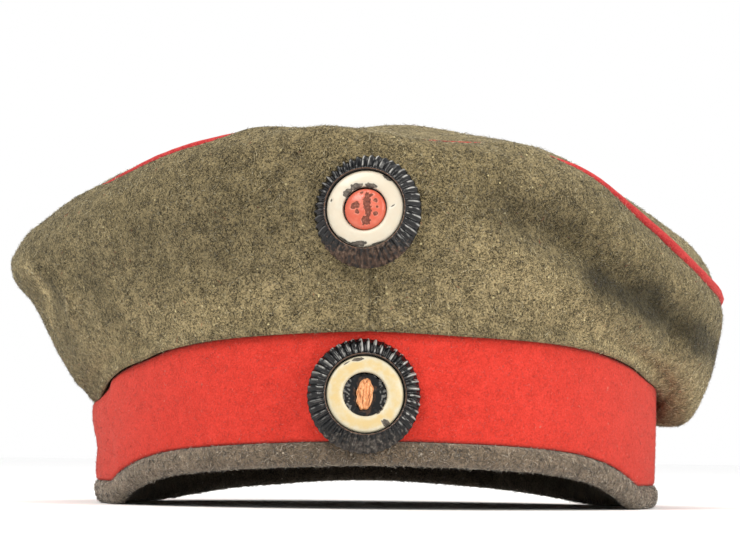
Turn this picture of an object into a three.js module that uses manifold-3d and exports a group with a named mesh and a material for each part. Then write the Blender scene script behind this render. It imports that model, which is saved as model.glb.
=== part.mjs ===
// A soft round field cap of felted wool, without a peak. The crown's side wall is two halves sewn
// together at the front and the back, and it hangs over a red band. A red cord is sewn between the
// wall and the domed top. A grey base band lies inside the red one, and its rolled lower edge shows
// below it. Two round painted metal cockades are pinned on at the front, one above the other.
//
// Millimetres, +Z up. The front faces -Y and the wearer's left is +X. A bearing is the angle round
// the band's oval in degrees: 0 at the front, 90 at +X, 180 at the back, -90 at -X. "out" is the
// distance outside the red band's outer face, and z is the height over the surface that the cap
// rests on.

import * as THREE from 'three';
import { mergeVertices } from 'three/addons/utils/BufferGeometryUtils.js';
import Module from 'manifold-3d';

const wasm = await Module();
wasm.setup();

// ---- driving dimensions ----

const BAND_HALF_WIDTH = 82.0;
const BAND_HALF_LENGTH = 97.5;
const BAND_SIDE_SHIFT = 1.4;
const CLOTH = 2.0;
const GAP = 0.3;
const ROLL_HEIGHT = 6.6;
const FRONT_SEAM = -1.0;
const BACK_SEAM = 179.0;
const SEAM_HALF_GAP = 0.09;
const WALL_FOOT_OUT = 0.8;
const PIPING_RADIUS = 1.3;
const CROWN_DOME_TOP = 106.0;
const DOME_SOFT_SHARE = 0.85;
const DOME_SOFT_POWER = 3.1;
const DOME_EDGE_POWER = 14.0;

// Steps of the faceted solids.
const WALL_STEPS = 36;
const WALL_ROWS = 11;
const TOP_RINGS = 6;
const ROUND_STEPS = 64;

// The band's lower edge lifts at the front and a little at the back, and lies flat at both sides.
// There it is also tucked in a little under the seam.
const RIM = table(['bearing', 'lift', 'tuck'], [
  [-180, 6.5, 0.2],
  [-150, 4.2, 0.4],
  [-118, 0.0, 0.9],
  [-67, 0.0, 1.0],
  [-60, 3.0, 0.6],
  [-50, 6.8, 0.2],
  [-40, 9.0, 0.0],
  [-22, 10.7, 0.0],
  [0, 11.7, 0.0],
  [20, 11.1, 0.0],
  [40, 9.3, 0.0],
  [52, 6.2, 0.0],
  [60, 2.8, 0.2],
  [67, 0.0, 0.4],
  [118, 0.0, 0.4],
  [150, 4.2, 0.3],
]);

// The line where the crown meets the red band.
const CROWN_SEAM = table(['bearing', 'z'], [
  [-180, 37.0],
  [-140, 34.0],
  [-100, 28.4],
  [-76, 29.6],
  [-65, 34.7],
  [-56, 38.3],
  [-49, 40.4],
  [-42, 43.0],
  [-24, 46.3],
  [0, 47.8],
  [16, 46.9],
  [33, 45.8],
  [46, 43.9],
  [60, 40.0],
  [73, 35.8],
  [90, 34.0],
  [110, 33.5],
  [145, 35.0],
]);

// The crown wall from its foot to the piping, a row for each bearing.
const WALL = table(
  [
    'bearing', 'footOut', 'footZ', 'lowOut', 'lowZ', 'bellyOut', 'bellyZ',
    'highOut', 'highZ', 'crestOut', 'crestZ', 'edgeOut', 'edgeZ',
  ],
  [
    [-180, 3.0, 39.0, 10.0, 42.5, 15.5, 51.0, 17.0, 61.0, 15.0, 70.5, 10.0, 76.0],
    [-150, 3.0, 37.0, 10.0, 41.0, 17.0, 51.0, 19.0, 62.0, 16.5, 72.0, 11.0, 77.0],
    [-120, 3.0, 33.5, 10.5, 40.0, 18.0, 51.0, 21.5, 63.0, 18.5, 72.5, 12.0, 77.0],
    [-100, 2.6, 31.8, 8.6, 40.5, 15.2, 52.5, 23.2, 65.0, 19.8, 74.0, 12.0, 78.5],
    [-80, 2.3, 32.0, 8.2, 41.0, 14.6, 52.5, 23.2, 66.0, 18.9, 76.4, 10.0, 81.4],
    [-60, 1.8, 39.0, 6.0, 46.0, 11.5, 59.0, 13.8, 74.0, 10.0, 84.0, 4.0, 88.6],
    [-40, 1.7, 46.0, 3.5, 54.0, 7.0, 67.5, 7.2, 82.5, 4.2, 92.4, -1.0, 97.2],
    [-24, 1.6, 49.0, 2.5, 58.0, 5.2, 72.0, 5.0, 87.0, 0.8, 98.5, -7.5, 101.0],
    [-10, 1.6, 50.2, 2.4, 58.0, 4.7, 73.0, 4.6, 88.5, -1.0, 101.9, -11.5, 101.2],
    [0, 1.6, 50.5, 2.2, 58.0, 4.5, 73.0, 4.4, 87.5, -1.0, 100.4, -12.0, 99.6],
    [10, 1.6, 50.0, 2.3, 57.5, 4.7, 72.0, 4.5, 86.5, -0.8, 98.9, -11.5, 98.4],
    [24, 1.6, 48.6, 2.6, 55.5, 5.2, 70.0, 5.2, 84.5, 0.6, 95.8, -7.5, 98.0],
    [40, 1.7, 46.0, 3.0, 52.0, 6.5, 65.0, 6.8, 79.0, 4.0, 90.4, -1.0, 93.8],
    [60, 1.8, 42.0, 6.0, 46.5, 11.0, 56.0, 11.4, 65.0, 9.8, 72.8, 6.2, 78.6],
    [80, 2.4, 34.6, 9.0, 35.5, 15.0, 44.0, 17.2, 52.0, 17.4, 58.8, 15.0, 64.6],
    [100, 3.6, 25.2, 10.8, 24.8, 16.4, 34.0, 18.8, 46.0, 20.4, 54.5, 19.8, 60.3],
    [125, 3.8, 26.0, 11.0, 26.0, 17.0, 36.0, 19.4, 47.0, 20.4, 56.0, 18.5, 62.0],
    [150, 3.0, 36.0, 10.5, 36.5, 17.0, 44.5, 18.8, 55.0, 17.6, 64.5, 14.0, 70.0],
  ],
);

// Hollows (depth over 0) and ridges (under 0) pressed into the wall along short lines.
const WALL_FOLDS = [
  { name: 'front seam', from: [-1, 46], to: [-1, 104], width: 2.6, depth: 0.8 },
  { name: 'dip in the front edge', from: [6, 101], to: [14, 101], width: 5.0, depth: 1.2 },
  { name: 'long slant hollow', from: [26, 79], to: [66, 51], width: 6.0, depth: 3.8 },
  { name: 'ridge over it', from: [34, 88], to: [70, 62], width: 5.0, depth: -1.4 },
  { name: 'ridge under it', from: [22, 70], to: [60, 46], width: 5.0, depth: -1.4 },
  { name: 'broad soft hollow', from: [-56, 66], to: [-34, 68], width: 12.0, depth: 1.8 },
  { name: 'left end crease', from: [-94, 62], to: [-80, 50], width: 4.0, depth: 2.0 },
  { name: 'back slack fold', from: [150, 66], to: [176, 48], width: 8.0, depth: 2.2 },
  { name: 'back side fold', from: [-165, 68], to: [-135, 50], width: 8.0, depth: 2.2 },
];
const MM_PER_DEGREE = 1.65;

// How far the top panel puffs up just inside the piping.
const TOP_PUFF = table(['bearing', 'rise'], [
  [-180, 0.0],
  [52, 0.0],
  [64, 1.2],
  [76, 5.0],
  [90, 6.5],
  [115, 3.0],
  [150, 0.0],
]);

// Swellings and hollows of the top panel.
const TOP_CENTRE = { x: 1.0, y: 6.0 };
const TOP_FOLDS = [
  { name: 'swelling behind the front edge', x: 10, y: -44, radius: 15, rise: 2.8 },
  { name: 'hollow at the left', x: 64, y: -8, radius: 30, rise: -9.0 },
  { name: 'hollow at the right', x: -44, y: -10, radius: 26, rise: -3.0 },
  { name: 'hollow at the back', x: 20, y: 58, radius: 24, rise: -3.5 },
  { name: 'swelling at the back right', x: -30, y: 52, radius: 20, rise: 2.0 },
];

// Section of the base band with its rolled lower edge, up from the rim or down from the seam.
const BASE_SECTION = [
  { out: -0.6, up: ROLL_HEIGHT - GAP },
  { out: 0.4, up: 4.4 },
  { out: 0.2, up: 1.7 },
  { out: -1.0, up: 0.0 },
  { out: -3.6, up: 0.0 },
  { out: -4.8, up: 1.7 },
  { out: -4.9, up: 4.6 },
  { out: -4.4, up: 8.5 },
  { out: -4.4, down: 0.2 },
  { out: -2.3, down: 0.2 },
  { out: -2.3, up: ROLL_HEIGHT - GAP },
];

// Section of the red band: a felt strip, with its edges a little rounded.
const RED_SECTION = [
  { out: -0.5, up: ROLL_HEIGHT },
  { out: 0.0, up: ROLL_HEIGHT + 1.2 },
  { out: 0.25, mid: 0.5 },
  { out: 0.0, down: 1.2 },
  { out: -0.5, down: 0.0 },
  { out: -2.0, down: 0.0 },
  { out: -2.0, up: ROLL_HEIGHT },
];

// The cockades. Heights are along the cockade's axis, from the cloth it lies on.
const UPPER = {
  name: 'upper_cockade',
  radius: 14.5,
  flutes: 46,
  holeRadius: 5.75,
  place: { x: 0.1, z: 78.3 },
  tiltUp: 8,
  turnRight: 10,
};
const LOWER = {
  name: 'lower_cockade',
  radius: 15.2,
  flutes: 46,
  holeRadius: 5.8,
  place: { x: -1.3, z: 30.1 },
  tiltUp: 7,
  turnRight: -5,
};
const RING_RADIUS = 10.3;
const FLUTE_DEPTH = 0.6;
const SHELL_CREST = 3.6;
const SHELL_FLOOR = 1.5;
const SHANK_RADIUS = 0.9;
const SHANK_HOLE = 1.25;
const PIN_BAR = { wide: 2.0, long: 9.0, thick: 0.9 };
const LATHE_STEPS = 32;
const EDGE_SAMPLES = 12;

// ---- tables ----

function table(columns, rows) {
  return rows.map((row) => Object.fromEntries(columns.map((name, i) => [name, row[i]])));
}

// Value of one column at a bearing: a monotone cubic through the rows, closed round the oval.
function around(rows, column, bearing) {
  const n = rows.length;
  const b = THREE.MathUtils.euclideanModulo(bearing + 180, 360) - 180;
  let k = n - 1;
  while (k > 0 && rows[k].bearing > b) k -= 1;
  const row = (i) => rows[THREE.MathUtils.euclideanModulo(i, n)];
  const at = (i) => row(i).bearing + 360 * Math.floor(i / n);
  const slope = (i) => (row(i + 1)[column] - row(i)[column]) / (at(i + 1) - at(i));
  const tangent = (i) => {
    const before = slope(i - 1);
    const after = slope(i);
    return before * after <= 0 ? 0 : (2 * before * after) / (before + after);
  };
  const span = at(k + 1) - at(k);
  const t = (b - at(k)) / span;
  const t2 = t * t;
  const t3 = t2 * t;
  return (2 * t3 - 3 * t2 + 1) * row(k)[column] + (t3 - 2 * t2 + t) * span * tangent(k)
    + (3 * t2 - 2 * t3) * row(k + 1)[column] + (t3 - t2) * span * tangent(k + 1);
}

// ---- places round the cap ----

// The point at a distance outside the band's oval, at a bearing and a height.
function place(bearing, out, z) {
  const angle = THREE.MathUtils.degToRad(bearing);
  const s = Math.sin(angle);
  const c = Math.cos(angle);
  const normal = new THREE.Vector2(s / BAND_HALF_WIDTH, -c / BAND_HALF_LENGTH).normalize();
  return new THREE.Vector3(
    BAND_SIDE_SHIFT + BAND_HALF_WIDTH * s + out * normal.x,
    -BAND_HALF_LENGTH * c + out * normal.y,
    z,
  );
}

function foldDepth(bearing, z) {
  let depth = 0;
  for (const fold of WALL_FOLDS) {
    const from = new THREE.Vector2(fold.from[0] * MM_PER_DEGREE, fold.from[1]);
    const along = new THREE.Vector2(fold.to[0] * MM_PER_DEGREE, fold.to[1]).sub(from);
    const here = new THREE.Vector2(bearing * MM_PER_DEGREE, z).sub(from);
    const share = THREE.MathUtils.clamp(here.dot(along) / along.lengthSq(), 0, 1);
    const distance = here.sub(along.multiplyScalar(share)).length();
    depth += fold.depth * Math.exp(-((distance / fold.width) ** 2));
  }
  return depth;
}

// Outer and inner points of the crown wall at a bearing, from its foot to the piping.
function wallSection(bearing) {
  const value = (column) => around(WALL, column, bearing);
  const spots = [new THREE.Vector3(WALL_FOOT_OUT, around(CROWN_SEAM, 'z', bearing) + GAP, 0)];
  for (const spot of ['foot', 'low', 'belly', 'high', 'crest', 'edge']) {
    spots.push(new THREE.Vector3(value(`${spot}Out`), value(`${spot}Z`), 0));
  }
  const curve = new THREE.CatmullRomCurve3(spots, false, 'centripetal');
  const length = curve.getLength();
  const last = 1 - (PIPING_RADIUS + GAP + 0.1) / length;
  const outer = [];
  const inner = [];
  for (let j = 0; j <= WALL_ROWS; j += 1) {
    const share = (last * j) / WALL_ROWS;
    const spot = curve.getPointAt(share);
    const tangent = curve.getTangentAt(share);
    const pressed = foldDepth(bearing, spot.y) * Math.sin(Math.PI * Math.min(1, share * 0.9 + 0.1));
    const out = spot.x - tangent.y * pressed;
    const z = spot.y + tangent.x * pressed;
    outer.push(place(bearing, out, z));
    inner.push(place(bearing, out - tangent.y * CLOTH, z + tangent.x * CLOTH));
  }
  return { outer, inner };
}

function edgePoint(bearing) {
  return place(bearing, around(WALL, 'edgeOut', bearing), around(WALL, 'edgeZ', bearing));
}

// Height of the top panel over a place, between its edge at that bearing and its middle.
function topPoint(bearing, share) {
  const edge = edgePoint(bearing);
  const centre = new THREE.Vector3(TOP_CENTRE.x, TOP_CENTRE.y, 0);
  const spot = centre.lerp(new THREE.Vector3(edge.x, edge.y, 0), share);
  const low = DOME_SOFT_SHARE * share ** DOME_SOFT_POWER
    + (1 - DOME_SOFT_SHARE) * share ** DOME_EDGE_POWER;
  let dome = CROWN_DOME_TOP;
  for (const fold of TOP_FOLDS) {
    const away = Math.hypot(spot.x - fold.x, spot.y - fold.y) / fold.radius;
    dome += fold.rise * Math.exp(-away * away);
  }
  const puff = around(TOP_PUFF, 'rise', bearing) * (share ** 10 - share ** 40);
  spot.z = dome + (edge.z - dome) * low + puff;
  return spot;
}

// ---- solids ----

// A closed solid from vertices and four-sided faces given by their corners.
function solidFrom(points, quads) {
  const corners = [];
  for (const [a, b, c, d] of quads) corners.push(a, b, c, a, c, d);
  const soup = new THREE.BufferGeometry();
  const position = new Float32Array(corners.length * 3);
  corners.forEach((corner, i) => points[corner].toArray(position, i * 3));
  soup.setAttribute('position', new THREE.BufferAttribute(position, 3));
  const merged = mergeVertices(soup, 1e-4);
  const index = merged.getIndex().array;
  const kept = [];
  for (let i = 0; i < index.length; i += 3) {
    const [a, b, c] = [index[i], index[i + 1], index[i + 2]];
    if (a !== b && b !== c && c !== a) kept.push(a, b, c);
  }
  merged.setIndex(kept);
  return facingOut(merged);
}

// Turns the faces of a closed geometry round if they point inwards.
function facingOut(geometry) {
  const position = geometry.getAttribute('position');
  const index = geometry.getIndex().array;
  const [a, b, c] = [new THREE.Vector3(), new THREE.Vector3(), new THREE.Vector3()];
  let volume = 0;
  for (let i = 0; i < index.length; i += 3) {
    a.fromBufferAttribute(position, index[i]);
    b.fromBufferAttribute(position, index[i + 1]);
    c.fromBufferAttribute(position, index[i + 2]);
    volume += a.dot(b.cross(c));
  }
  if (volume < 0) {
    for (let i = 0; i < index.length; i += 3) [index[i], index[i + 1]] = [index[i + 1], index[i]];
  }
  return geometry;
}

// A sheet between an outer and an inner grid of points, with its free edges closed.
function sheetSolid(outer, inner, ring) {
  const rows = outer.length;
  const columns = outer[0].length;
  const points = [...outer.flat(), ...inner.flat()];
  const outside = (i, j) => (i % rows) * columns + j;
  const inside = (i, j) => rows * columns + (i % rows) * columns + j;
  const quads = [];
  const last = ring ? rows : rows - 1;
  for (let i = 0; i < last; i += 1) {
    for (let j = 0; j < columns - 1; j += 1) {
      quads.push([outside(i, j), outside(i + 1, j), outside(i + 1, j + 1), outside(i, j + 1)]);
      quads.push([inside(i, j), inside(i, j + 1), inside(i + 1, j + 1), inside(i + 1, j)]);
    }
    const j = columns - 1;
    quads.push([outside(i, 0), inside(i, 0), inside(i + 1, 0), outside(i + 1, 0)]);
    quads.push([outside(i, j), outside(i + 1, j), inside(i + 1, j), inside(i, j)]);
  }
  for (let j = 0; j < columns - 1 && !ring; j += 1) {
    const i = rows - 1;
    quads.push([outside(0, j), outside(0, j + 1), inside(0, j + 1), inside(0, j)]);
    quads.push([outside(i, j), inside(i, j), inside(i, j + 1), outside(i, j + 1)]);
  }
  return solidFrom(points, quads);
}

// A ring with a closed section at each bearing.
function ringSolid(sectionAt, steps) {
  const sections = [];
  for (let i = 0; i < steps; i += 1) sections.push(sectionAt(-180 + (360 * i) / steps));
  const sides = sections[0].length;
  const at = (i, j) => (i % steps) * sides + (j % sides);
  const quads = [];
  for (let i = 0; i < steps; i += 1) {
    for (let j = 0; j < sides; j += 1) {
      quads.push([at(i, j), at(i + 1, j), at(i + 1, j + 1), at(i, j + 1)]);
    }
  }
  return solidFrom(sections.flat(), quads);
}

function bandSection(section, bearing) {
  const rim = around(RIM, 'lift', bearing);
  const tuck = around(RIM, 'tuck', bearing);
  const seam = around(CROWN_SEAM, 'z', bearing);
  return section.map((corner) => {
    let z = rim + (corner.up ?? 0);
    if (corner.down !== undefined) z = seam - corner.down;
    if (corner.mid !== undefined) z = rim + ROLL_HEIGHT + corner.mid * (seam - rim - ROLL_HEIGHT);
    const share = THREE.MathUtils.clamp((seam - z) / (seam - rim - ROLL_HEIGHT), 0, 1);
    return place(bearing, corner.out - tuck * share, z);
  });
}

function wallHalf(fromBearing, toBearing) {
  const outer = [];
  const inner = [];
  for (let i = 0; i <= WALL_STEPS; i += 1) {
    const section = wallSection(THREE.MathUtils.lerp(fromBearing, toBearing, i / WALL_STEPS));
    outer.push(section.outer);
    inner.push(section.inner);
  }
  return sheetSolid(outer, inner, false);
}

function topPanel() {
  const outer = [];
  const inner = [];
  for (let i = 0; i < ROUND_STEPS; i += 1) {
    const bearing = -180 + (360 * i) / ROUND_STEPS;
    const edge = edgePoint(bearing);
    const reach = Math.hypot(edge.x - TOP_CENTRE.x, edge.y - TOP_CENTRE.y);
    let first = 1;
    while (topPoint(bearing, first).distanceTo(edge) < PIPING_RADIUS + GAP + 0.1) first -= 0.1 / reach;
    const above = [];
    const below = [];
    for (let j = 0; j <= TOP_RINGS; j += 1) {
      const share = first * (1 - (j / TOP_RINGS) ** 1.5);
      const spot = topPoint(bearing, share);
      const inward = topPoint(bearing, Math.max(0, share - 0.02));
      const run = Math.hypot(inward.x - spot.x, inward.y - spot.y) || 1;
      const rise = share > 0 ? (inward.z - spot.z) / run : 0;
      const lean = new THREE.Vector3(spot.x - TOP_CENTRE.x, spot.y - TOP_CENTRE.y, 0);
      if (share > 0) lean.normalize().multiplyScalar(rise);
      const normal = lean.setZ(1).normalize();
      above.push(spot);
      below.push(spot.clone().addScaledVector(normal, -CLOTH));
    }
    outer.push(above);
    inner.push(below);
  }
  return sheetSolid(outer, inner, true);
}

// The cord between the wall and the top: a round section square to its own path.
function piping() {
  const path = [];
  for (let i = 0; i < ROUND_STEPS; i += 1) path.push(edgePoint(-180 + (360 * i) / ROUND_STEPS));
  const curve = new THREE.CatmullRomCurve3(path, true, 'centripetal');
  const sides = 6;
  return ringSolid((bearing) => {
    const share = (bearing + 180) / 360;
    const middle = curve.getPoint(share);
    const along = curve.getTangent(share);
    const across = new THREE.Vector3(0, 0, 1).cross(along).normalize();
    const up = along.clone().cross(across);
    const section = [];
    for (let k = 0; k < sides; k += 1) {
      const turn = (2 * Math.PI * (k + 0.5)) / sides;
      section.push(middle.clone()
        .addScaledVector(across, PIPING_RADIUS * Math.cos(turn))
        .addScaledVector(up, PIPING_RADIUS * Math.sin(turn)));
    }
    return section;
  }, ROUND_STEPS);
}

// ---- joining and cutting ----

function toManifold(geometry) {
  const bare = geometry.clone();
  bare.deleteAttribute('normal');
  bare.deleteAttribute('uv');
  const merged = mergeVertices(bare, 1e-4);
  return new wasm.Manifold(new wasm.Mesh({
    numProp: 3,
    vertProperties: new Float32Array(merged.getAttribute('position').array),
    triVerts: new Uint32Array(merged.getIndex().array),
  }));
}

function fromManifold(solid) {
  const mesh = solid.getMesh();
  const geometry = new THREE.BufferGeometry();
  geometry.setAttribute('position', new THREE.BufferAttribute(new Float32Array(mesh.vertProperties), 3));
  geometry.setIndex([...mesh.triVerts]);
  return geometry;
}

function cut(geometry, cutters) {
  let solid = toManifold(geometry);
  for (const cutter of cutters) solid = solid.subtract(toManifold(cutter));
  return fromManifold(solid);
}

function join(geometries) {
  const [first, ...rest] = geometries.map(toManifold);
  return fromManifold(rest.reduce((solid, next) => solid.add(next), first));
}

// ---- cockades ----

// A closed profile turned about the cockade's axis, which is +Z in the cockade's own frame.
function turned(profile, steps) {
  const points = profile.map(([r, h]) => new THREE.Vector2(r, h));
  const lathe = new THREE.LatheGeometry([...points, points[0]], steps);
  lathe.rotateX(Math.PI / 2);
  lathe.deleteAttribute('normal');
  lathe.deleteAttribute('uv');
  const merged = mergeVertices(lathe, 1e-4);
  const index = merged.getIndex().array;
  const kept = [];
  for (let i = 0; i < index.length; i += 3) {
    const [a, b, c] = [index[i], index[i + 1], index[i + 2]];
    if (a !== b && b !== c && c !== a) kept.push(a, b, c);
  }
  merged.setIndex(kept);
  return facingOut(merged);
}

// The stamped black shell: a fluted flank round a flat dish.
function shellBody(kind) {
  const steps = kind.flutes * 2;
  const flank = [
    { r: kind.radius, h: 0.2, flute: 1 },
    { r: kind.radius - 0.1, h: 0.9, flute: 1 },
    { r: (kind.radius + RING_RADIUS) / 2 + 0.5, h: SHELL_CREST - 0.5, flute: 0.7 },
    { r: RING_RADIUS + 0.9, h: SHELL_CREST, flute: 0.2 },
  ];
  const dish = [
    { r: RING_RADIUS + 0.3, h: SHELL_CREST - 0.3 },
    { r: RING_RADIUS + 0.3, h: SHELL_FLOOR },
  ];
  const rings = [...flank, ...dish];
  const points = [];
  for (let i = 0; i < steps; i += 1) {
    const turn = (2 * Math.PI * i) / steps;
    for (const { r, h, flute = 0 } of rings) {
      const radius = r - (i % 2 ? FLUTE_DEPTH * flute : 0);
      points.push(new THREE.Vector3(radius * Math.cos(turn), radius * Math.sin(turn), h));
    }
    points.push(new THREE.Vector3(0, 0, SHELL_FLOOR));
  }
  for (let i = 0; i < steps; i += 1) points.push(new THREE.Vector3(0, 0, rings[0].h));
  const side = rings.length + 1;
  const at = (i, j) => (i % steps) * side + j;
  const quads = [];
  for (let i = 0; i < steps; i += 1) {
    for (let j = 0; j < side - 1; j += 1) {
      quads.push([at(i, j), at(i + 1, j), at(i + 1, j + 1), at(i, j + 1)]);
    }
    quads.push([steps * side, steps * side, at(i + 1, 0), at(i, 0)]);
  }
  return solidFrom(points, quads);
}

// The pin soldered to the shell's back: a shank through the cloth and a bar behind it.
function shellPin(behind) {
  const top = SHELL_FLOOR / 2;
  const shank = new THREE.CylinderGeometry(SHANK_RADIUS, SHANK_RADIUS, top + behind + PIN_BAR.thick / 2, 12);
  shank.rotateX(Math.PI / 2);
  shank.translate(0, 0, (top - behind - PIN_BAR.thick / 2) / 2);
  const bar = new THREE.BoxGeometry(PIN_BAR.wide, PIN_BAR.long, PIN_BAR.thick);
  bar.translate(0, 0, -behind - PIN_BAR.thick / 2);
  return [shank, bar];
}

function shankHole() {
  const hole = new THREE.CylinderGeometry(SHANK_HOLE, SHANK_HOLE, 24, 12);
  hole.rotateX(Math.PI / 2);
  return hole;
}

function paintedRing(kind) {
  return turned([
    [kind.holeRadius + 0.1, SHELL_FLOOR + GAP],
    [RING_RADIUS, SHELL_FLOOR + GAP],
    [RING_RADIUS, SHELL_FLOOR + 1.0],
    [RING_RADIUS - 0.5, SHELL_FLOOR + 1.5],
    [kind.holeRadius + 0.6, SHELL_FLOOR + 1.8],
    [kind.holeRadius + 0.1, SHELL_FLOOR + 1.5],
  ], LATHE_STEPS);
}

function redBoss() {
  const r = UPPER.holeRadius - GAP;
  return turned([
    [0, SHELL_FLOOR + GAP],
    [r, SHELL_FLOOR + GAP],
    [r, SHELL_FLOOR + 1.7],
    [r - 0.6, SHELL_FLOOR + 2.3],
    [r * 0.5, SHELL_FLOOR + 2.7],
    [0, SHELL_FLOOR + 2.85],
  ], LATHE_STEPS);
}

// A worn oval plug of fibre in the lower cockade's middle.
function fibrePlug() {
  const plug = turned([
    [0, 0],
    [2.2, 0],
    [2.4, 0.6],
    [1.7, 1.5],
    [0.7, 2.1],
    [0, 2.2],
  ], 14);
  plug.scale(1.0, 1.85, 1.0);
  plug.translate(0, 0, SHELL_FLOOR + GAP);
  return plug;
}

// ---- assembly ----

function named(name, geometry, look) {
  const mesh = new THREE.Mesh(geometry, new THREE.MeshStandardMaterial({ metalness: 0, ...look }));
  mesh.name = name;
  return mesh;
}

const FELT_GREY = { color: 0x7d765c, roughness: 0.95 };
const FELT_RED = { color: 0xd8392f, roughness: 0.92 };
const CORD_RED = { color: 0xc22f36, roughness: 0.9 };
const BAND_GREY = { color: 0x6f6a60, roughness: 0.95 };
const LACQUER_BLACK = { color: 0x1c1d20, roughness: 0.3, metalness: 0.4 };
const PAINT_WHITE = { color: 0xf3ebd3, roughness: 0.4 };
const PAINT_CREAM = { color: 0xf0dfa0, roughness: 0.4 };
const PAINT_RED = { color: 0xe8502e, roughness: 0.4 };
const FIBRE_BROWN = { color: 0xc98a5a, roughness: 0.9 };

// A cockade's frame: its axis points out of the front, a little up and to the wearer's right. Its
// origin slides along that axis until the shell lies on the cloth, and behind is how deep the
// cloth reaches there.
function cockadeSeat(kind, cloths) {
  const frame = new THREE.Group();
  frame.position.set(kind.place.x, -BAND_HALF_LENGTH, kind.place.z);
  frame.rotation.set(
    THREE.MathUtils.degToRad(90 - kind.tiltUp),
    THREE.MathUtils.degToRad(-kind.turnRight),
    0,
  );
  frame.updateMatrixWorld(true);
  const toFrame = frame.matrixWorld.clone().invert();
  const [start, end, spot] = [new THREE.Vector3(), new THREE.Vector3(), new THREE.Vector3()];
  let front = -Infinity;
  let back = Infinity;
  for (const cloth of cloths) {
    const position = cloth.getAttribute('position');
    const index = cloth.getIndex().array;
    for (let i = 0; i < index.length; i += 1) {
      const next = i % 3 === 2 ? i - 2 : i + 1;
      start.fromBufferAttribute(position, index[i]).applyMatrix4(toFrame);
      end.fromBufferAttribute(position, index[next]).applyMatrix4(toFrame);
      for (let k = 0; k < EDGE_SAMPLES; k += 1) {
        spot.lerpVectors(start, end, k / EDGE_SAMPLES);
        if (spot.z < -20 || Math.hypot(spot.x, spot.y) > kind.radius + 0.2) continue;
        front = Math.max(front, spot.z);
        back = Math.min(back, spot.z);
      }
    }
  }
  frame.translateZ(front + GAP / 2);
  frame.updateMatrixWorld(true);
  return { frame, behind: front - back + GAP };
}

const group = new THREE.Group();
const cap = new THREE.Group();
group.add(cap);

const wallRight = wallHalf(BACK_SEAM - 360 + SEAM_HALF_GAP, FRONT_SEAM - SEAM_HALF_GAP);
const wallLeft = wallHalf(FRONT_SEAM + SEAM_HALF_GAP, BACK_SEAM - SEAM_HALF_GAP);
const redBand = ringSolid((bearing) => bandSection(RED_SECTION, bearing), ROUND_STEPS);
const baseBand = ringSolid((bearing) => bandSection(BASE_SECTION, bearing), ROUND_STEPS);
const upper = cockadeSeat(UPPER, [wallRight, wallLeft]);
const lower = cockadeSeat(LOWER, [redBand, baseBand]);
const upperHole = shankHole().applyMatrix4(upper.frame.matrixWorld);
const lowerHole = shankHole().applyMatrix4(lower.frame.matrixWorld);
const upperShell = join([shellBody(UPPER), ...shellPin(upper.behind)]);
const lowerShell = join([shellBody(LOWER), ...shellPin(lower.behind)]);

cap.add(named('crown_wall_right', cut(wallRight, [upperHole]), FELT_GREY));
cap.add(named('crown_wall_left', cut(wallLeft, [upperHole]), FELT_GREY));
cap.add(named('crown_top', topPanel(), FELT_GREY));
cap.add(named('crown_piping', piping(), CORD_RED));
cap.add(named('red_band', cut(redBand, [lowerHole]), FELT_RED));
cap.add(named('base_band', cut(baseBand, [lowerHole]), BAND_GREY));

upper.frame.add(named('upper_cockade_shell', upperShell, LACQUER_BLACK));
upper.frame.add(named('upper_cockade_ring', paintedRing(UPPER), PAINT_WHITE));
upper.frame.add(named('upper_cockade_boss', redBoss(), PAINT_RED));
lower.frame.add(named('lower_cockade_shell', lowerShell, LACQUER_BLACK));
lower.frame.add(named('lower_cockade_ring', paintedRing(LOWER), PAINT_CREAM));
lower.frame.add(named('lower_cockade_plug', fibrePlug(), FIBRE_BROWN));
cap.add(upper.frame, lower.frame);

// The frame's origin is under the middle of the cap's box.
const box = new THREE.Box3().setFromObject(cap, true);
cap.position.set(-(box.min.x + box.max.x) / 2, -(box.min.y + box.max.y) / 2, -box.min.z);

export default group;
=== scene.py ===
"""A soft round field cap of felted wool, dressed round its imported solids.

The crown's two side walls, its domed top, the red cord between them, the red band and the grey base
band are sheets of cloth laid over the solids' own tables, with finer folds and a nap of fibres. The
two painted cockades are fluted shells with worn enamel. Lengths in the tables are millimetres and
the scene is in metres. A bearing is the angle round the band's oval in degrees: 0 at the front,
90 at the wearer's left, 180 at the back. "out" is the distance outside the red band's outer face.
"""

import math

import bmesh
import bpy
import numpy as np
from mathutils import Matrix, Vector, noise


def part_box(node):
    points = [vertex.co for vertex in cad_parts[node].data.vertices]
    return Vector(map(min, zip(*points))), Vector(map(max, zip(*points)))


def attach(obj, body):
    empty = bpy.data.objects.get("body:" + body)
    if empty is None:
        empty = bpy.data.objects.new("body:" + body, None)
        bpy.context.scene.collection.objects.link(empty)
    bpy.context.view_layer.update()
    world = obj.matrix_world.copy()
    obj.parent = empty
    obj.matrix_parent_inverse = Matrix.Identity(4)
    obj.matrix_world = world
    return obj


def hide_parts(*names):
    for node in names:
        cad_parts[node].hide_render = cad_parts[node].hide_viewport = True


bl_info = {
    "name": "Felt Field Cap",
    "version": (1, 0, 0),
    "blender": (4, 5, 0),
    "location": "3D View > Sidebar > Field Cap",
    "description": "Dresses the field cap's solids with felt, cord and painted cockades",
    "category": "Add Mesh",
}

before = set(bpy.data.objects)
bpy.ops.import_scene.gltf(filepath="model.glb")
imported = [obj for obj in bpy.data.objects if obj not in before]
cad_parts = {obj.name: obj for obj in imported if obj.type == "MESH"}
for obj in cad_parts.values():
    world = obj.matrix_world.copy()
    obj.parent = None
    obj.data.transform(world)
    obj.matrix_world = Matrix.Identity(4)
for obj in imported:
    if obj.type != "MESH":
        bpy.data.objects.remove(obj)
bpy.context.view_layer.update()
MM = 0.001


def rows_of(columns, rows):
    """Table rows as dictionaries by column name."""
    return [dict(zip(columns, row)) for row in rows]


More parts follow.
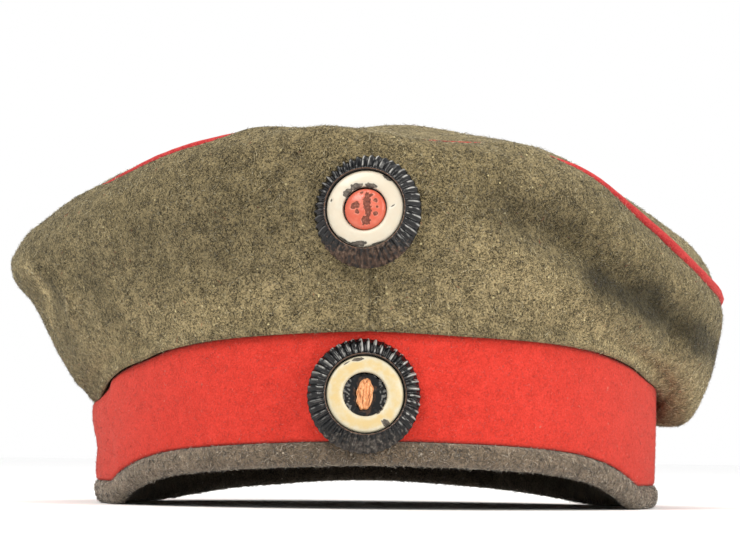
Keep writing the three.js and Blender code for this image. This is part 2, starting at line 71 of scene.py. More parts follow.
# ---- sizes and tables that the solids share ----

BAND_HALF_WIDTH = 82.0
BAND_HALF_LENGTH = 97.5
BAND_SIDE_SHIFT = 1.4
GAP = 0.3
ROLL_HEIGHT = 6.6
FRONT_SEAM = -1.0
BACK_SEAM = 179.0
SEAM_HALF_GAP = 0.03
WALL_FOOT_OUT = 0.8
CORD_RADIUS = 1.3
CROWN_DOME_TOP = 106.0
DOME_SOFT_SHARE = 0.85
DOME_SOFT_POWER = 3.1
DOME_EDGE_POWER = 14.0
MM_PER_DEGREE = 1.65
TOP_CENTRE = (1.0, 6.0)
FLOOR_CLEARANCE = 0.02
CORD_CLEAR = CORD_RADIUS + GAP + 0.1
PATH_STEPS = 16

RIM = rows_of(
    ("bearing", "lift", "tuck"),
    (
        (-180, 6.5, 0.2), (-150, 4.2, 0.4), (-118, 0.0, 0.9), (-67, 0.0, 1.0), (-60, 3.0, 0.6),
        (-50, 6.8, 0.2), (-40, 9.0, 0.0), (-22, 10.7, 0.0), (0, 11.7, 0.0), (20, 11.1, 0.0),
        (40, 9.3, 0.0), (52, 6.2, 0.0), (60, 2.8, 0.2), (67, 0.0, 0.4), (118, 0.0, 0.4), (150, 4.2, 0.3),
    ),
)

CROWN_SEAM = rows_of(
    ("bearing", "z"),
    (
        (-180, 37.0), (-140, 34.0), (-100, 28.4), (-76, 29.6), (-65, 34.7), (-56, 38.3), (-49, 40.4),
        (-42, 43.0), (-24, 46.3), (0, 47.8), (16, 46.9), (33, 45.8), (46, 43.9), (60, 40.0), (73, 35.8),
        (90, 34.0), (110, 33.5), (145, 35.0),
    ),
)

WALL_SPOTS = ("foot", "low", "belly", "high", "crest", "edge")
WALL_COLUMNS = ("bearing",) + tuple(spot + side for spot in WALL_SPOTS for side in ("Out", "Z"))
WALL = rows_of(
    WALL_COLUMNS,
    (
        (-180, 3.0, 39.0, 10.0, 42.5, 15.5, 51.0, 17.0, 61.0, 15.0, 70.5, 10.0, 76.0),
        (-150, 3.0, 37.0, 10.0, 41.0, 17.0, 51.0, 19.0, 62.0, 16.5, 72.0, 11.0, 77.0),
        (-120, 3.0, 33.5, 10.5, 40.0, 18.0, 51.0, 21.5, 63.0, 18.5, 72.5, 12.0, 77.0),
        (-100, 2.6, 31.8, 8.6, 40.5, 15.2, 52.5, 23.2, 65.0, 19.8, 74.0, 12.0, 78.5),
        (-80, 2.3, 32.0, 8.2, 41.0, 14.6, 52.5, 23.2, 66.0, 18.9, 76.4, 10.0, 81.4),
        (-60, 1.8, 39.0, 6.0, 46.0, 11.5, 59.0, 13.8, 74.0, 10.0, 84.0, 4.0, 88.6),
        (-40, 1.7, 46.0, 3.5, 54.0, 7.0, 67.5, 7.2, 82.5, 4.2, 92.4, -1.0, 97.2),
        (-24, 1.6, 49.0, 2.5, 58.0, 5.2, 72.0, 5.0, 87.0, 0.8, 98.5, -7.5, 101.0),
        (-10, 1.6, 50.2, 2.4, 58.0, 4.7, 73.0, 4.6, 88.5, -1.0, 101.9, -11.5, 101.2),
        (0, 1.6, 50.5, 2.2, 58.0, 4.5, 73.0, 4.4, 87.5, -1.0, 100.4, -12.0, 99.6),
        (10, 1.6, 50.0, 2.3, 57.5, 4.7, 72.0, 4.5, 86.5, -0.8, 98.9, -11.5, 98.4),
        (24, 1.6, 48.6, 2.6, 55.5, 5.2, 70.0, 5.2, 84.5, 0.6, 95.8, -7.5, 98.0),
        (40, 1.7, 46.0, 3.0, 52.0, 6.5, 65.0, 6.8, 79.0, 4.0, 90.4, -1.0, 93.8),
        (60, 1.8, 42.0, 6.0, 46.5, 11.0, 56.0, 11.4, 65.0, 9.8, 72.8, 6.2, 78.6),
        (80, 2.4, 34.6, 9.0, 35.5, 15.0, 44.0, 17.2, 52.0, 17.4, 58.8, 15.0, 64.6),
        (100, 3.6, 25.2, 10.8, 24.8, 16.4, 34.0, 18.8, 46.0, 20.4, 54.5, 19.8, 60.3),
        (125, 3.8, 26.0, 11.0, 26.0, 17.0, 36.0, 19.4, 47.0, 20.4, 56.0, 18.5, 62.0),
        (150, 3.0, 36.0, 10.5, 36.5, 17.0, 44.5, 18.8, 55.0, 17.6, 64.5, 14.0, 70.0),
    ),
)

# Hollows (depth over 0) and ridges (under 0) along short lines: from and to are (bearing, z).
FOLD_COLUMNS = ("from", "to", "width", "depth")
WALL_FOLDS = rows_of(
    FOLD_COLUMNS,
    (
        ((-1, 46), (-1, 104), 2.6, 0.8),
        ((6, 101), (14, 101), 5.0, 1.2),
        ((26, 79), (66, 51), 6.0, 3.8),
        ((34, 88), (70, 62), 5.0, -1.4),
        ((22, 70), (60, 46), 5.0, -1.4),
        ((-56, 66), (-34, 68), 12.0, 1.8),
        ((-94, 62), (-80, 50), 4.0, 2.0),
        ((150, 66), (176, 48), 8.0, 2.2),
        ((-165, 68), (-135, 50), 8.0, 2.2),
    ),
)

# ---- finer shapes that the solids leave out ----

# Small folds of the crown's wall.
WALL_CREASES = rows_of(
    FOLD_COLUMNS,
    (
        ((-1, 46), (-1, 104), 0.9, 0.45),
        ((-84, 70), (-70, 65.5), 1.7, -0.8),
        ((-70, 65.5), (-64, 58), 1.7, -0.9),
        ((-64, 58), (-67, 50), 1.8, -0.8),
        ((-88, 63), (-73, 56), 4.0, 0.7),
        ((-76, 44), (-62, 50), 3.5, 0.7),
        ((34, 76), (62, 55), 3.2, 0.9),
        ((60, 58), (86, 47), 3.4, 1.3),
        ((64, 71), (84, 57), 3.0, 0.5),
        ((-30, 92), (-12, 94), 5.0, 0.5),
        ((12, 62), (30, 56), 4.0, 0.5),
    ),
)
# Broad lighter (over 0) and darker (under 0) places of the crown's nap: painted light on its ridges
# and low down, painted shade in the hollows of its folds.
CROWN_LIGHT_AND_SHADE = rows_of(
    FOLD_COLUMNS,
    (
        ((-70, 74), (-8, 82), 11.0, -0.22),
        ((-45, 68), (-16, 66), 9.0, -0.2),
        ((6, 84), (30, 80), 8.0, -0.16),
        ((38, 90), (62, 79), 7.0, -0.14),
        ((22, 81), (37, 76), 7.0, -0.32),
        ((37, 76), (45, 66), 6.0, -0.35),
        ((43, 62), (58, 57.5), 5.2, -1.0),
        ((58, 57.5), (74, 48.5), 4.8, -1.0),
        ((74, 48.5), (90, 44.5), 4.4, -0.9),
        ((82, 34), (102, 28), 5.0, 0.6),
        ((-62, 42), (-22, 54), 8.0, 0.36),
        ((-18, 54), (20, 56), 7.0, 0.16),
        ((18, 68), (40, 54), 6.0, 0.4),
        ((44, 47), (78, 36), 5.0, 0.5),
        ((-73.5, 68.0), (-71, 64), 1.7, 1.0),
        ((-71, 64), (-71.2, 59), 1.7, 1.1),
        ((-71.2, 59), (-75.5, 50), 1.8, 0.9),
        ((-67, 63), (-68, 56), 2.4, -0.6),
        ((-58, 64), (-56, 52), 5.0, -0.35),
        ((-77, 63), (-76, 57), 1.6, -0.35),
    ),
)
# The band is drawn in along its left end and swells over that.
BAND_CREASES = rows_of(
    FOLD_COLUMNS,
    (
        ((-112, 33), (-68, 33), 4.0, 1.0),
        ((-112, 16), (-66, 16), 4.5, 0.85),
        ((-112, 26), (-66, 26.5), 4.0, -0.4),
        ((-40, 20), (-16, 23), 7.0, 0.3),
        ((24, 34), (52, 30), 7.0, 0.3),
    ),
)

# The left end of the foot is drawn in too: bearing, half its width in degrees, and depth in mm.
BAND_DRAW = (-90.0, 26.0, 0.9)

TOP_FOLDS = rows_of(
    ("x", "y", "radius", "rise"),
    (
        (10, -44, 15, 2.8), (64, -8, 30, -9.0), (-44, -10, 26, -3.0), (20, 58, 24, -3.5),
        (-30, 52, 20, 2.0),
    ),
)

# How far the top panel puffs up just inside the cord.
TOP_PUFF = rows_of(
    ("bearing", "rise"), ((-180, 0.0), (52, 0.0), (64, 1.2), (76, 5.0), (90, 6.5), (115, 3.0), (150, 0.0))
)
# How far the wall's upper edge stands up in front of the cord.
WALL_LIP = rows_of(
    ("bearing", "rise"),
    (
        (-180, 0.2), (-110, 0.6), (-84, 2.0), (-70, 2.4), (-62, 1.9), (-57, 1.1), (-34, 1.3), (-26, 2.4),
        (-12, 0.9), (18, 0.9), (30, 2.2), (38, 1.3), (48, 0.5), (60, 0.0), (100, 0.0),
    ),
)

# Closed section of the grey base band, finer than the solid's: out, then the height up from the
# rim or down from the seam.
BASE_SECTION = (
    (-0.6, "up", 6.5), (0.35, "up", 5.7), (0.8, "up", 3.9), (0.5, "up", 1.9), (-0.6, "up", 0.5),
    (-2.2, "up", 0.0), (-3.8, "up", 0.4), (-4.7, "up", 1.8), (-4.9, "up", 4.6), (-4.4, "up", 9.0),
    (-4.3, "down", 12.0), (-4.4, "down", 0.6), (-3.4, "down", 0.2), (-2.4, "down", 0.6),
    (-2.4, "down", 12.0), (-2.4, "up", 8.5), (-2.3, "up", 6.4), (-1.5, "up", 6.2),
)

COCKADE_COLUMNS = ("radius", "flutes", "hole_radius", "tilt_up", "turn_right")
COCKADES = {
    "upper": dict(zip(COCKADE_COLUMNS, (14.5, 46, 5.75, 8.0, 10.0))),
    "lower": dict(zip(COCKADE_COLUMNS, (15.2, 46, 5.8, 7.0, -5.0))),
}
RING_RADIUS = 10.3
RING_TOP = 1.8
BOSS_TOP = 2.85
# How far the shell's foot has slipped sideways and down under its dish.
SHELL_SLIP = {"upper": (0.5, -0.6), "lower": (-0.2, -0.25)}
SHELL_STRETCH = {"upper": 1.06, "lower": 1.02}
BOSS_SHIFT = (0.12, -0.25)
SHELL_CREST = 3.6
SHELL_FLOOR = 1.5
SHANK_RADIUS = 0.9
PIN_BAR = (2.0, 9.0, 0.9)
FLUTE_STEPS = 8
# Strength of the painted highlights on the flutes, and how much of them lies on one flank of each flute.
FLUTE_GLINT = {"upper": (0.75, 0.25), "lower": (0.95, 0.85)}
PLUG_LEAN = 3.0
PALE_EDGE = {"upper": 0.05, "lower": 0.22}

# Where the enamel has come off, in the cockade's own plane: middle x and y, half width, half height
# and turn in degrees.
MARK_COLUMNS = ("x", "y", "wide", "high", "turn")
UPPER_RING_MARKS = (
    (-4.6, 4.4, 1.7, 1.1, 45),
    (-2.4, 5.9, 2.0, 0.8, 18),
    (1.6, 6.1, 1.8, 0.55, -12),
    (5.9, 8.4, 1.3, 0.75, -35),
    (-1.7, -9.5, 2.3, 0.75, 4),
    (-5.6, -8.3, 2.2, 0.3, -32),
    (3.4, -9.5, 2.2, 0.3, 18),
    (7.5, 0.4, 0.6, 0.16, 35),
    (-9.0, 2.4, 0.5, 0.2, 70),
)
BOSS_SLOT = ((0.75, 0.9, 1.0, 3.3, 5), (0.35, -3.3, 1.25, 1.1, -20))
BOSS_MARKS = (
    (-2.6, 0.9, 1.25, 1.0, 20),
    (-1.9, -0.9, 0.5, 0.8, 30),
    (1.6, 3.5, 0.7, 0.4, 25),
    (-0.9, 4.3, 0.5, 0.3, 10),
    (2.9, 2.1, 0.55, 0.6, 0),
    (3.4, 0.4, 0.35, 0.3, 0),
    (2.9, -1.4, 0.6, 0.55, 0),
    (-1.9, -1.2, 0.25, 0.2, 0),
)
LOWER_RING_MARKS = (
    (5.6, -7.7, 1.3, 0.8, -38),
    (-2.1, 9.2, 1.6, 0.42, 8),
    (-5.0, 8.2, 1.4, 0.2, 32),
    (3.9, -4.4, 1.2, 0.4, 40),
)

# Columns and rows of each cloth's grid of points.
WALL_GRID = (241, 62)
TOP_GRID = (301, 52)
CORD_GRID = (541, 10)
RED_GRID = (481, 34)
BASE_GRID = (481, 60)
# The base band's nap lies on the first columns of its section, on its outer side.
ROLLED_COLUMNS = 11

# Loose fibres: how many, least and greatest length and thickness in mm, least and greatest lift in
# degrees, the random seed, and whether the cloth closes on itself.
NAP_COLUMNS = ("count", "long", "thick", "lift", "seed", "closed")
NAPS = {
    "crown_wall_right_nap": (22500, (0.8, 2.6), (0.07, 0.16), (3, 34), 11, False),
    "crown_wall_left_nap": (22500, (0.8, 2.6), (0.07, 0.16), (3, 34), 12, False),
    "crown_top_nap": (12000, (0.8, 2.6), (0.07, 0.16), (3, 34), 21, False),
    "red_band_nap": (10000, (0.6, 1.6), (0.05, 0.11), (3, 34), 31, True),
    "base_band_nap": (14000, (0.8, 2.6), (0.08, 0.19), (3, 38), 41, True),
}

# How much darker the deepest painted shade makes the nap and how much paler the strongest painted light.
PAINTED_SHADE_GAIN = 0.2
PAINTED_LIGHT_GAIN = 1.8

# Lamps: name, place in metres, width in metres and power in watts.
LAMPS = (
    ("key_lamp", (-0.45, -0.85, 1.0), 0.5, 6.0),
    ("side_lamp", (0.95, -0.55, 0.6), 0.5, 5.0),
    ("top_lamp", (0.0, 0.15, 1.2), 0.8, 5.0),
    ("left_glint_lamp", (-0.55, -0.95, 0.75), 0.11, 3.6),
    ("right_glint_lamp", (0.75, -0.9, 0.4), 0.11, 3.2),
)

# ---- the frame's own places ----

band_low, band_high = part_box("red_band")
ORIGIN = np.array(
    (
        (band_low.x + band_high.x) / 2 - BAND_SIDE_SHIFT * MM,
        (band_low.y + band_high.y) / 2,
        0.0,
    )
)


def from_hex(code):
    """An sRGB hex colour as linear red, green and blue."""
    parts = [int(code[i : i + 2], 16) / 255 for i in (0, 2, 4)]
    return tuple(c / 12.92 if c <= 0.04045 else ((c + 0.055) / 1.055) ** 2.4 for c in parts)


def around(rows, column, bearings):
    """A column's value at each bearing: a monotone cubic through the rows, closed round the oval."""
    at = np.array([row["bearing"] for row in rows], float)
    value = np.array([row[column] for row in rows], float)
    at = np.concatenate([at[-2:] - 360, at, at[:3] + 360])
    value = np.concatenate([value[-2:], value, value[:3]])
    slope = np.diff(value) / np.diff(at)
    both = slope[:-1] * slope[1:]
    tangent = np.zeros(len(at))
    tangent[1:-1] = np.where(both > 0, 2 * both / np.where(both > 0, slope[:-1] + slope[1:], 1), 0)
    bearing = (np.asarray(bearings, float) + 180) % 360 - 180
    k = np.searchsorted(at, bearing, side="right") - 1
    span = at[k + 1] - at[k]
    t = (bearing - at[k]) / span
    return (
        (2 * t**3 - 3 * t**2 + 1) * value[k]
        + (t**3 - 2 * t**2 + t) * span * tangent[k]
        + (3 * t**2 - 2 * t**3) * value[k + 1]
        + (t**3 - t**2) * span * tangent[k + 1]
    )


def oval_place(bearing, out, z):
    """Points in metres at a bearing, a distance outside the band's oval and a height."""
    angle = np.radians(bearing)
    s, c = np.sin(angle), np.cos(angle)
    normal_x, normal_y = s / BAND_HALF_WIDTH, -c / BAND_HALF_LENGTH
    long = np.hypot(normal_x, normal_y)
    x = BAND_SIDE_SHIFT + BAND_HALF_WIDTH * s + out * normal_x / long
    y = -BAND_HALF_LENGTH * c + out * normal_y / long
    return np.stack(np.broadcast_arrays(x, y, z), axis=-1) * MM + ORIGIN


def fold_depth(folds, bearing, z):
    depth = np.zeros(np.broadcast(bearing, z).shape)
    for fold in folds:
        start_x, start_z = fold["from"][0] * MM_PER_DEGREE, fold["from"][1]
        along_x, along_z = fold["to"][0] * MM_PER_DEGREE - start_x, fold["to"][1] - start_z
        here_x, here_z = bearing * MM_PER_DEGREE - start_x, z - start_z
        long = along_x**2 + along_z**2
        share = np.clip((here_x * along_x + here_z * along_z) / long, 0, 1)
        away = np.hypot(here_x - along_x * share, here_z - along_z * share)
        depth = depth + fold["depth"] * bell(away, fold["width"])
    return depth


def linear(colour):
    """A colour's linear red, green and blue, whether it is given so or as sRGB hex."""
    return from_hex(colour) if isinstance(colour, str) else tuple(colour)


def tones(colour, shares, more=0.0):
    """A felt's dark, middle and light tones as shares of its middle colour, the light one paler."""
    dark, middle, light = ([c * share for c in colour] for share in shares)
    return dark, middle, [min(1, c + more) for c in light]


def full_turn(grid):
    """The bearings of a grid's columns all the way round the cap, and its number of rows."""
    return np.linspace(-180, 180, grid[0]), grid[1]


def bell(away, width, power=2):
    """A smooth bump, 1 in its middle; the higher the power, the flatter its top."""
    return np.exp(-((away / width) ** power))


def spots_of(x, y, z):
    """Points in metres from arrays of x, y and z in mm."""
    return np.stack([x, y, z], axis=-1) * MM


def smooth_path(points, closed=False):
    """The centripetal Catmull-Rom curve through each row of points, an array (rows, corners, 2)."""
    if closed:
        points = np.concatenate([points[:, -1:], points, points[:, :2]], axis=1)
    else:
        first, last = 2 * points[:, :1] - points[:, 1:2], 2 * points[:, -1:] - points[:, -2:-1]
        points = np.concatenate([first, points, last], axis=1)
    p0, p1, p2, p3 = points[:, :-3], points[:, 1:-2], points[:, 2:-1], points[:, 3:]
    d0, d1, d2 = (
        np.sqrt(np.linalg.norm(b - a, axis=2, keepdims=True)) for a, b in ((p0, p1), (p1, p2), (p2, p3))
    )
    t1 = ((p1 - p0) / d0 - (p2 - p0) / (d0 + d1) + (p2 - p1) / d1) * d1
    t2 = ((p2 - p1) / d1 - (p3 - p1) / (d1 + d2) + (p3 - p2) / d2) * d1
    pieces = []
    for t in np.arange(PATH_STEPS) / PATH_STEPS:
        pieces.append(
            p1 + t1 * t + (3 * (p2 - p1) - 2 * t1 - t2) * t**2 + (2 * (p1 - p2) + t1 + t2) * t**3
        )
    path = np.stack(pieces, axis=2).reshape(len(points), -1, points.shape[2])
    return np.concatenate([path, p2[:, -1:]], axis=1)


def spaced(path, shares):
    """Points at shares (rows, columns) of each row's length along its path."""
    made = np.empty(shares.shape + (2,))
    for i, line in enumerate(path):
        run = np.concatenate([[0], np.cumsum(np.linalg.norm(np.diff(line, axis=0), axis=1))])
        for k in range(2):
            made[i, :, k] = np.interp(shares[i] * run[-1], run, line[:, k])
    return made


def path_length(path):
    return np.linalg.norm(np.diff(path, axis=1), axis=2).sum(axis=1)


def ripple(points, size, offset):
    """Smooth noise from -1 to 1 at points in metres, whose waves are about size mm long."""
    flat = points.reshape(-1, 3) / (size * MM)
    shift = Vector((offset, 0.37 * offset, 0.71 * offset))
    made = [noise.noise(Vector(p) + shift) for p in flat]
    return np.array(made).reshape(points.shape[:-1])


def grid_normals(points, closed_across=False):
    """Unit normals of a grid of points (across, along, 3)."""
    if closed_across:
        wide = np.concatenate([points[-2:-1], points, points[1:2]])
        across = (wide[2:] - wide[:-2]) / 2
    else:
        across = np.gradient(points, axis=0)
    along = np.gradient(points, axis=1)
    normal = np.cross(across, along)
    return normal / np.maximum(np.linalg.norm(normal, axis=2, keepdims=True), 1e-12)


# ---- the cloth's faces as grids of points ----


def wall_face(bearings, rows):
    """Outer face of the crown wall, from its foot to the cord, with the cloth's relative
    thickness and its painted light and shade, with random tone, at each point."""
    value = {c: around(WALL, c, bearings) for c in WALL_COLUMNS[1:]}
    foot = around(CROWN_SEAM, "z", bearings) + GAP
    corners = [np.stack([np.full(len(bearings), WALL_FOOT_OUT), foot], axis=1)]
    corners += [np.stack([value[s + "Out"], value[s + "Z"]], axis=1) for s in WALL_SPOTS]
    path = smooth_path(np.stack(corners, axis=1))
    length = path_length(path)[:, None]
    share = np.linspace(0, 1, rows + 1)[None, :] * (1 - CORD_CLEAR / length)
    spots = spaced(path, share)
    tangent = np.gradient(spots, axis=1)
    tangent /= np.linalg.norm(tangent, axis=2, keepdims=True)
    bearing = bearings[:, None]
    out, z = spots[..., 0], spots[..., 1]
    near_ends = np.sin(np.pi * np.minimum(1, share * 0.9 + 0.1))
    pressed = fold_depth(WALL_FOLDS, bearing, z) * near_ends
    pressed += fold_depth(WALL_CREASES, bearing, z) * near_ends
    flat = oval_place(bearing, out, z)
    settings = bpy.context.scene.field_cap
    rumple = ripple(flat, 26, 3.1) * 0.55 + ripple(flat, 11, 7.7) * 0.3 + ripple(flat, 4.5, 1.3) * 0.12
    pressed -= rumple * settings.cloth_rumple * np.minimum(1, share * 8) * np.minimum(1, (1 - share) * 12)
    # The turned-in hem stands out and hangs down a little over the band; above it the cloth is
    # drawn in by the stitches.
    from_foot, from_cord = share * length, (share.max(axis=1, keepdims=True) - share) * length
    front = bell(bearing, 62, 4)
    hem = settings.hem_swell * (0.25 + 0.75 * front)
    pressed -= hem * bell(from_foot - 1.2, 1.2)
    pressed += 0.5 * bell(from_foot - 3.8, 1.2)
    flank = bell(np.abs(bearing) - 88, 32, 4)
    flank += 0.45 * bell(bearing + 90, 24, 6) + drawn_in(bearing)
    out = out - tangent[..., 1] * pressed + (0.25 + 0.7 * front) * bell(from_foot, 1.8)
    out = out - flank * bell(from_foot, 2.6)
    z = z + tangent[..., 0] * pressed - (0.35 + 0.4 * front) * bell(from_foot, 1.2)
    lip = around(WALL_LIP, "rise", bearing) + 0.3 * ripple(flat[:, -1:], 19, 4.8)
    z = z + lip * bell(from_cord, 3.2)
    thick = 1 - 0.5 * bell(from_foot, 1.6) - 0.6 * bell(from_cord, 1.6)
    # Painted light on the ridges and low down, painted shade in the fold hollows; the ripples add random
    # tone.
    shade = fold_depth(CROWN_LIGHT_AND_SHADE, bearing, z)
    shade += ripple(flat, 22, 12.5) * 0.16 + ripple(flat, 8, 15.5) * 0.14
    return oval_place(bearing, out, z), thick, shade


def cord_path(bearings):
    return oval_place(bearings, around(WALL, "edgeOut", bearings), around(WALL, "edgeZ", bearings))


def top_height(bearing, edge, share):
    """Points of the top panel at a share of the way from its middle to its edge."""
    centre = np.array((*TOP_CENTRE, 0.0)) * MM + ORIGIN
    spots = centre + (edge - centre) * share[..., None]
    low = DOME_SOFT_SHARE * share**DOME_SOFT_POWER + (1 - DOME_SOFT_SHARE) * share**DOME_EDGE_POWER
    dome = np.full(share.shape, CROWN_DOME_TOP)
    local = (spots - ORIGIN) / MM
    for fold in TOP_FOLDS:
        away = np.hypot(local[..., 0] - fold["x"], local[..., 1] - fold["y"]) / fold["radius"]
        dome = dome + fold["rise"] * np.exp(-(away**2))
    puff = around(TOP_PUFF, "rise", bearing) * (share**10 - share**40)
    spots[..., 2] = (dome + puff) * MM + (edge[..., 2] - dome * MM) * low
    return spots


def top_face(bearings, rings):
    """Outer face of the top panel, from beside the cord to its middle."""
    edge = cord_path(bearings)
    tries = np.linspace(1, 0.94, 121)
    bearing = bearings[:, None]
    spots = top_height(bearing, edge[:, None], np.broadcast_to(tries, (len(bearings), 121)))
    away = np.linalg.norm(spots - edge[:, None], axis=2)
    first = tries[(away >= CORD_CLEAR * MM).argmax(axis=1)]
    share = first[:, None] * (1 - (np.arange(rings + 1) / rings) ** 1.3)
    points = top_height(bearing, edge[:, None], share)
    settings = bpy.context.scene.field_cap
    rumple = ripple(points, 30, 5.2) * 0.7 + ripple(points, 12, 9.4) * 0.3 + ripple(points, 4.5, 2.2) * 0.1
    calm = np.minimum(1, (first[:, None] - share) * 25)
    points[..., 2] += rumple * settings.cloth_rumple * calm * MM
    from_cord = (first[:, None] - share) * np.linalg.norm(edge - edge.mean(axis=0), axis=1)[:, None] / MM
    points[..., 2] -= 0.5 * MM * bell(from_cord, 1.5)
    return points


def drawn_in(bearing):
    """How far the left end of the cap's foot is drawn in."""
    return BAND_DRAW[2] * bell(bearing - BAND_DRAW[0], BAND_DRAW[1], 4)


def red_face(bearings, rows):
    """Outer face of the red band, from its lower edge to the crown's seam."""
    bearing = bearings[:, None]
    rim = around(RIM, "lift", bearings)[:, None]
    tuck = around(RIM, "tuck", bearings)[:, None]
    seam = around(CROWN_SEAM, "z", bearings)[:, None]
    share = np.linspace(0, 1, rows + 1)[None, :]
    z = rim + ROLL_HEIGHT + share * (seam - rim - ROLL_HEIGHT)
    from_edge = np.minimum(z - rim - ROLL_HEIGHT, seam + 0.3 - z)
    out = 0.25 * np.sin(np.pi * share) - tuck * (1 - share)
    out = out - 0.45 * bell(from_edge, 0.4)
    out = out - fold_depth(BAND_CREASES, bearing, z) - drawn_in(bearing)
    flat = oval_place(bearing, out, z)
    out = out + ripple(flat, 34, 4.4) * 0.35 + ripple(flat, 12, 8.8) * 0.12
    return oval_place(bearing, out, z)


def base_face(bearings, steps):
    """The grey base band's closed section at each bearing."""
    rim = around(RIM, "lift", bearings)
    tuck = around(RIM, "tuck", bearings)
    seam = around(CROWN_SEAM, "z", bearings)
    corners = []
    for out, side, height in BASE_SECTION:
        z = rim + height if side == "up" else seam - height
        share = np.clip((seam - z) / (seam - rim - ROLL_HEIGHT), 0, 1)
        corners.append(np.stack([out - tuck * share, z], axis=1))
    path = smooth_path(np.stack(corners, axis=1), closed=True)
    share = np.broadcast_to(np.linspace(0, 1, steps + 1), (len(bearings), steps + 1))
    spots = spaced(path, share)
    out, z = spots[..., 0], spots[..., 1]
    flat = oval_place(bearings[:, None], out, z)
    swell = ripple(flat, 17, 6.1) * 0.28 + ripple(flat, 6, 2.9) * 0.14
    middle = out.min(axis=1, keepdims=True) / 2 + out.max(axis=1, keepdims=True) / 2
    roll = bell(z - rim[:, None], 5.5)
    out = out + np.sign(out - middle) * swell * roll - drawn_in(bearings[:, None]) * (1 + 0.9 * roll)
    z = z + np.minimum(0, z - rim[:, None] - 3) / 3 * np.minimum(0, swell) * 0.5
    return oval_place(bearings[:, None], out, np.maximum(z, FLOOR_CLEARANCE))


def cord_face(bearings, sides):
    """The cord's round skin, a little uneven as cloth pulled over a string is."""
    middle = cord_path(bearings)
    closed = np.concatenate([middle[-2:-1], middle, middle[1:2]])
    along = closed[2:] - closed[:-2]
    along /= np.linalg.norm(along, axis=1, keepdims=True)
    across = np.cross(np.array((0.0, 0.0, 1.0)), along)
    across /= np.linalg.norm(across, axis=1, keepdims=True)
    up = np.cross(along, across)
    middle = middle + up * (ripple(middle, 14, 1.9) * 0.18 * MM)[:, None]
    turn = np.linspace(0, 2 * np.pi, sides + 1)
    ring = across[:, None] * np.cos(turn)[None, :, None] + up[:, None] * np.sin(turn)[None, :, None]
    slack = 0.35 * bell(bearings - 78, 26)
    size = 1 + slack + 0.08 * ripple(middle, 5, 3.3) + 0.05 * ripple(middle, 2.2, 6.6)
    return middle[:, None] + ring * (CORD_RADIUS * MM * size)[:, None, None]


# ---- meshes ----


def sheet_shape(points, worn=None, thick=None):
    """A bmesh grid moved onto a grid of points (across, along, 3), its doubled edges merged, with
    a worn value or the first vertex group's weight for each point. The worn value is painted light
    and shade on the crown, and wear, chips and painted highlights on the cockades."""
    across, along = points.shape[0] - 1, points.shape[1] - 1
    shape = bmesh.new()
    shape.loops.layers.uv.new("UVMap")
    bmesh.ops.create_grid(shape, x_segments=across, y_segments=along, size=0.5, calc_uvs=True)
    worn_layer = shape.verts.layers.float.new("worn") if worn is not None else None
    group_layer = shape.verts.layers.deform.new() if thick is not None else None
    for vertex in shape.verts:
        i = round((vertex.co.x + 0.5) * across)
        j = round((vertex.co.y + 0.5) * along)
        vertex.co = points[i, j]
        if worn_layer is not None:
            vertex[worn_layer] = worn[i, j]
        if group_layer is not None:
            vertex[group_layer][0] = min(1.0, max(0.0, thick[i, j]))
    bmesh.ops.remove_doubles(shape, verts=shape.verts, dist=0.004 * MM)
    bmesh.ops.dissolve_degenerate(shape, edges=shape.edges, dist=0.002 * MM)
    return shape


def turn_out(shape, height):
    """Turns an open sheet's faces to point away from the cap's axis at a height in mm."""
    inside = Vector(ORIGIN + np.array((0, 0, height)) * MM)
    outward = sum(f.normal.dot(f.calc_center_median() - inside) * f.calc_area() for f in shape.faces)
    if outward < 0:
        bmesh.ops.reverse_faces(shape, faces=shape.faces)


def place_piece(mesh, material):
    """A piece of the cap made from its mesh, riding on the only body."""
    piece = bpy.data.objects.new(mesh.name, mesh)
    bpy.context.scene.collection.objects.link(piece)
    mesh.materials.append(material)
    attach(piece, "root")
    return piece


def finish_piece(shape, name, material, node, wall=None, thinned=False):
    """Makes the piece from a bmesh with its material, thickened when a wall is given, and hides the
    solid of the node that it stands for.
    """
    mesh = bpy.data.meshes.new(name)
    shape.to_mesh(mesh)
    shape.free()
    mesh.shade_smooth()
    piece = place_piece(mesh, material)
    if wall:
        thicken = piece.modifiers.new("cloth", "SOLIDIFY")
        thicken.thickness = wall * MM
        thicken.offset = -1
        thicken.use_even_offset = False
        if thinned:
            piece.vertex_groups.new(name="relative thickness")
            thicken.vertex_group = "relative thickness"
            thicken.thickness_vertex_group = 0.02
    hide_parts(node)
    return piece


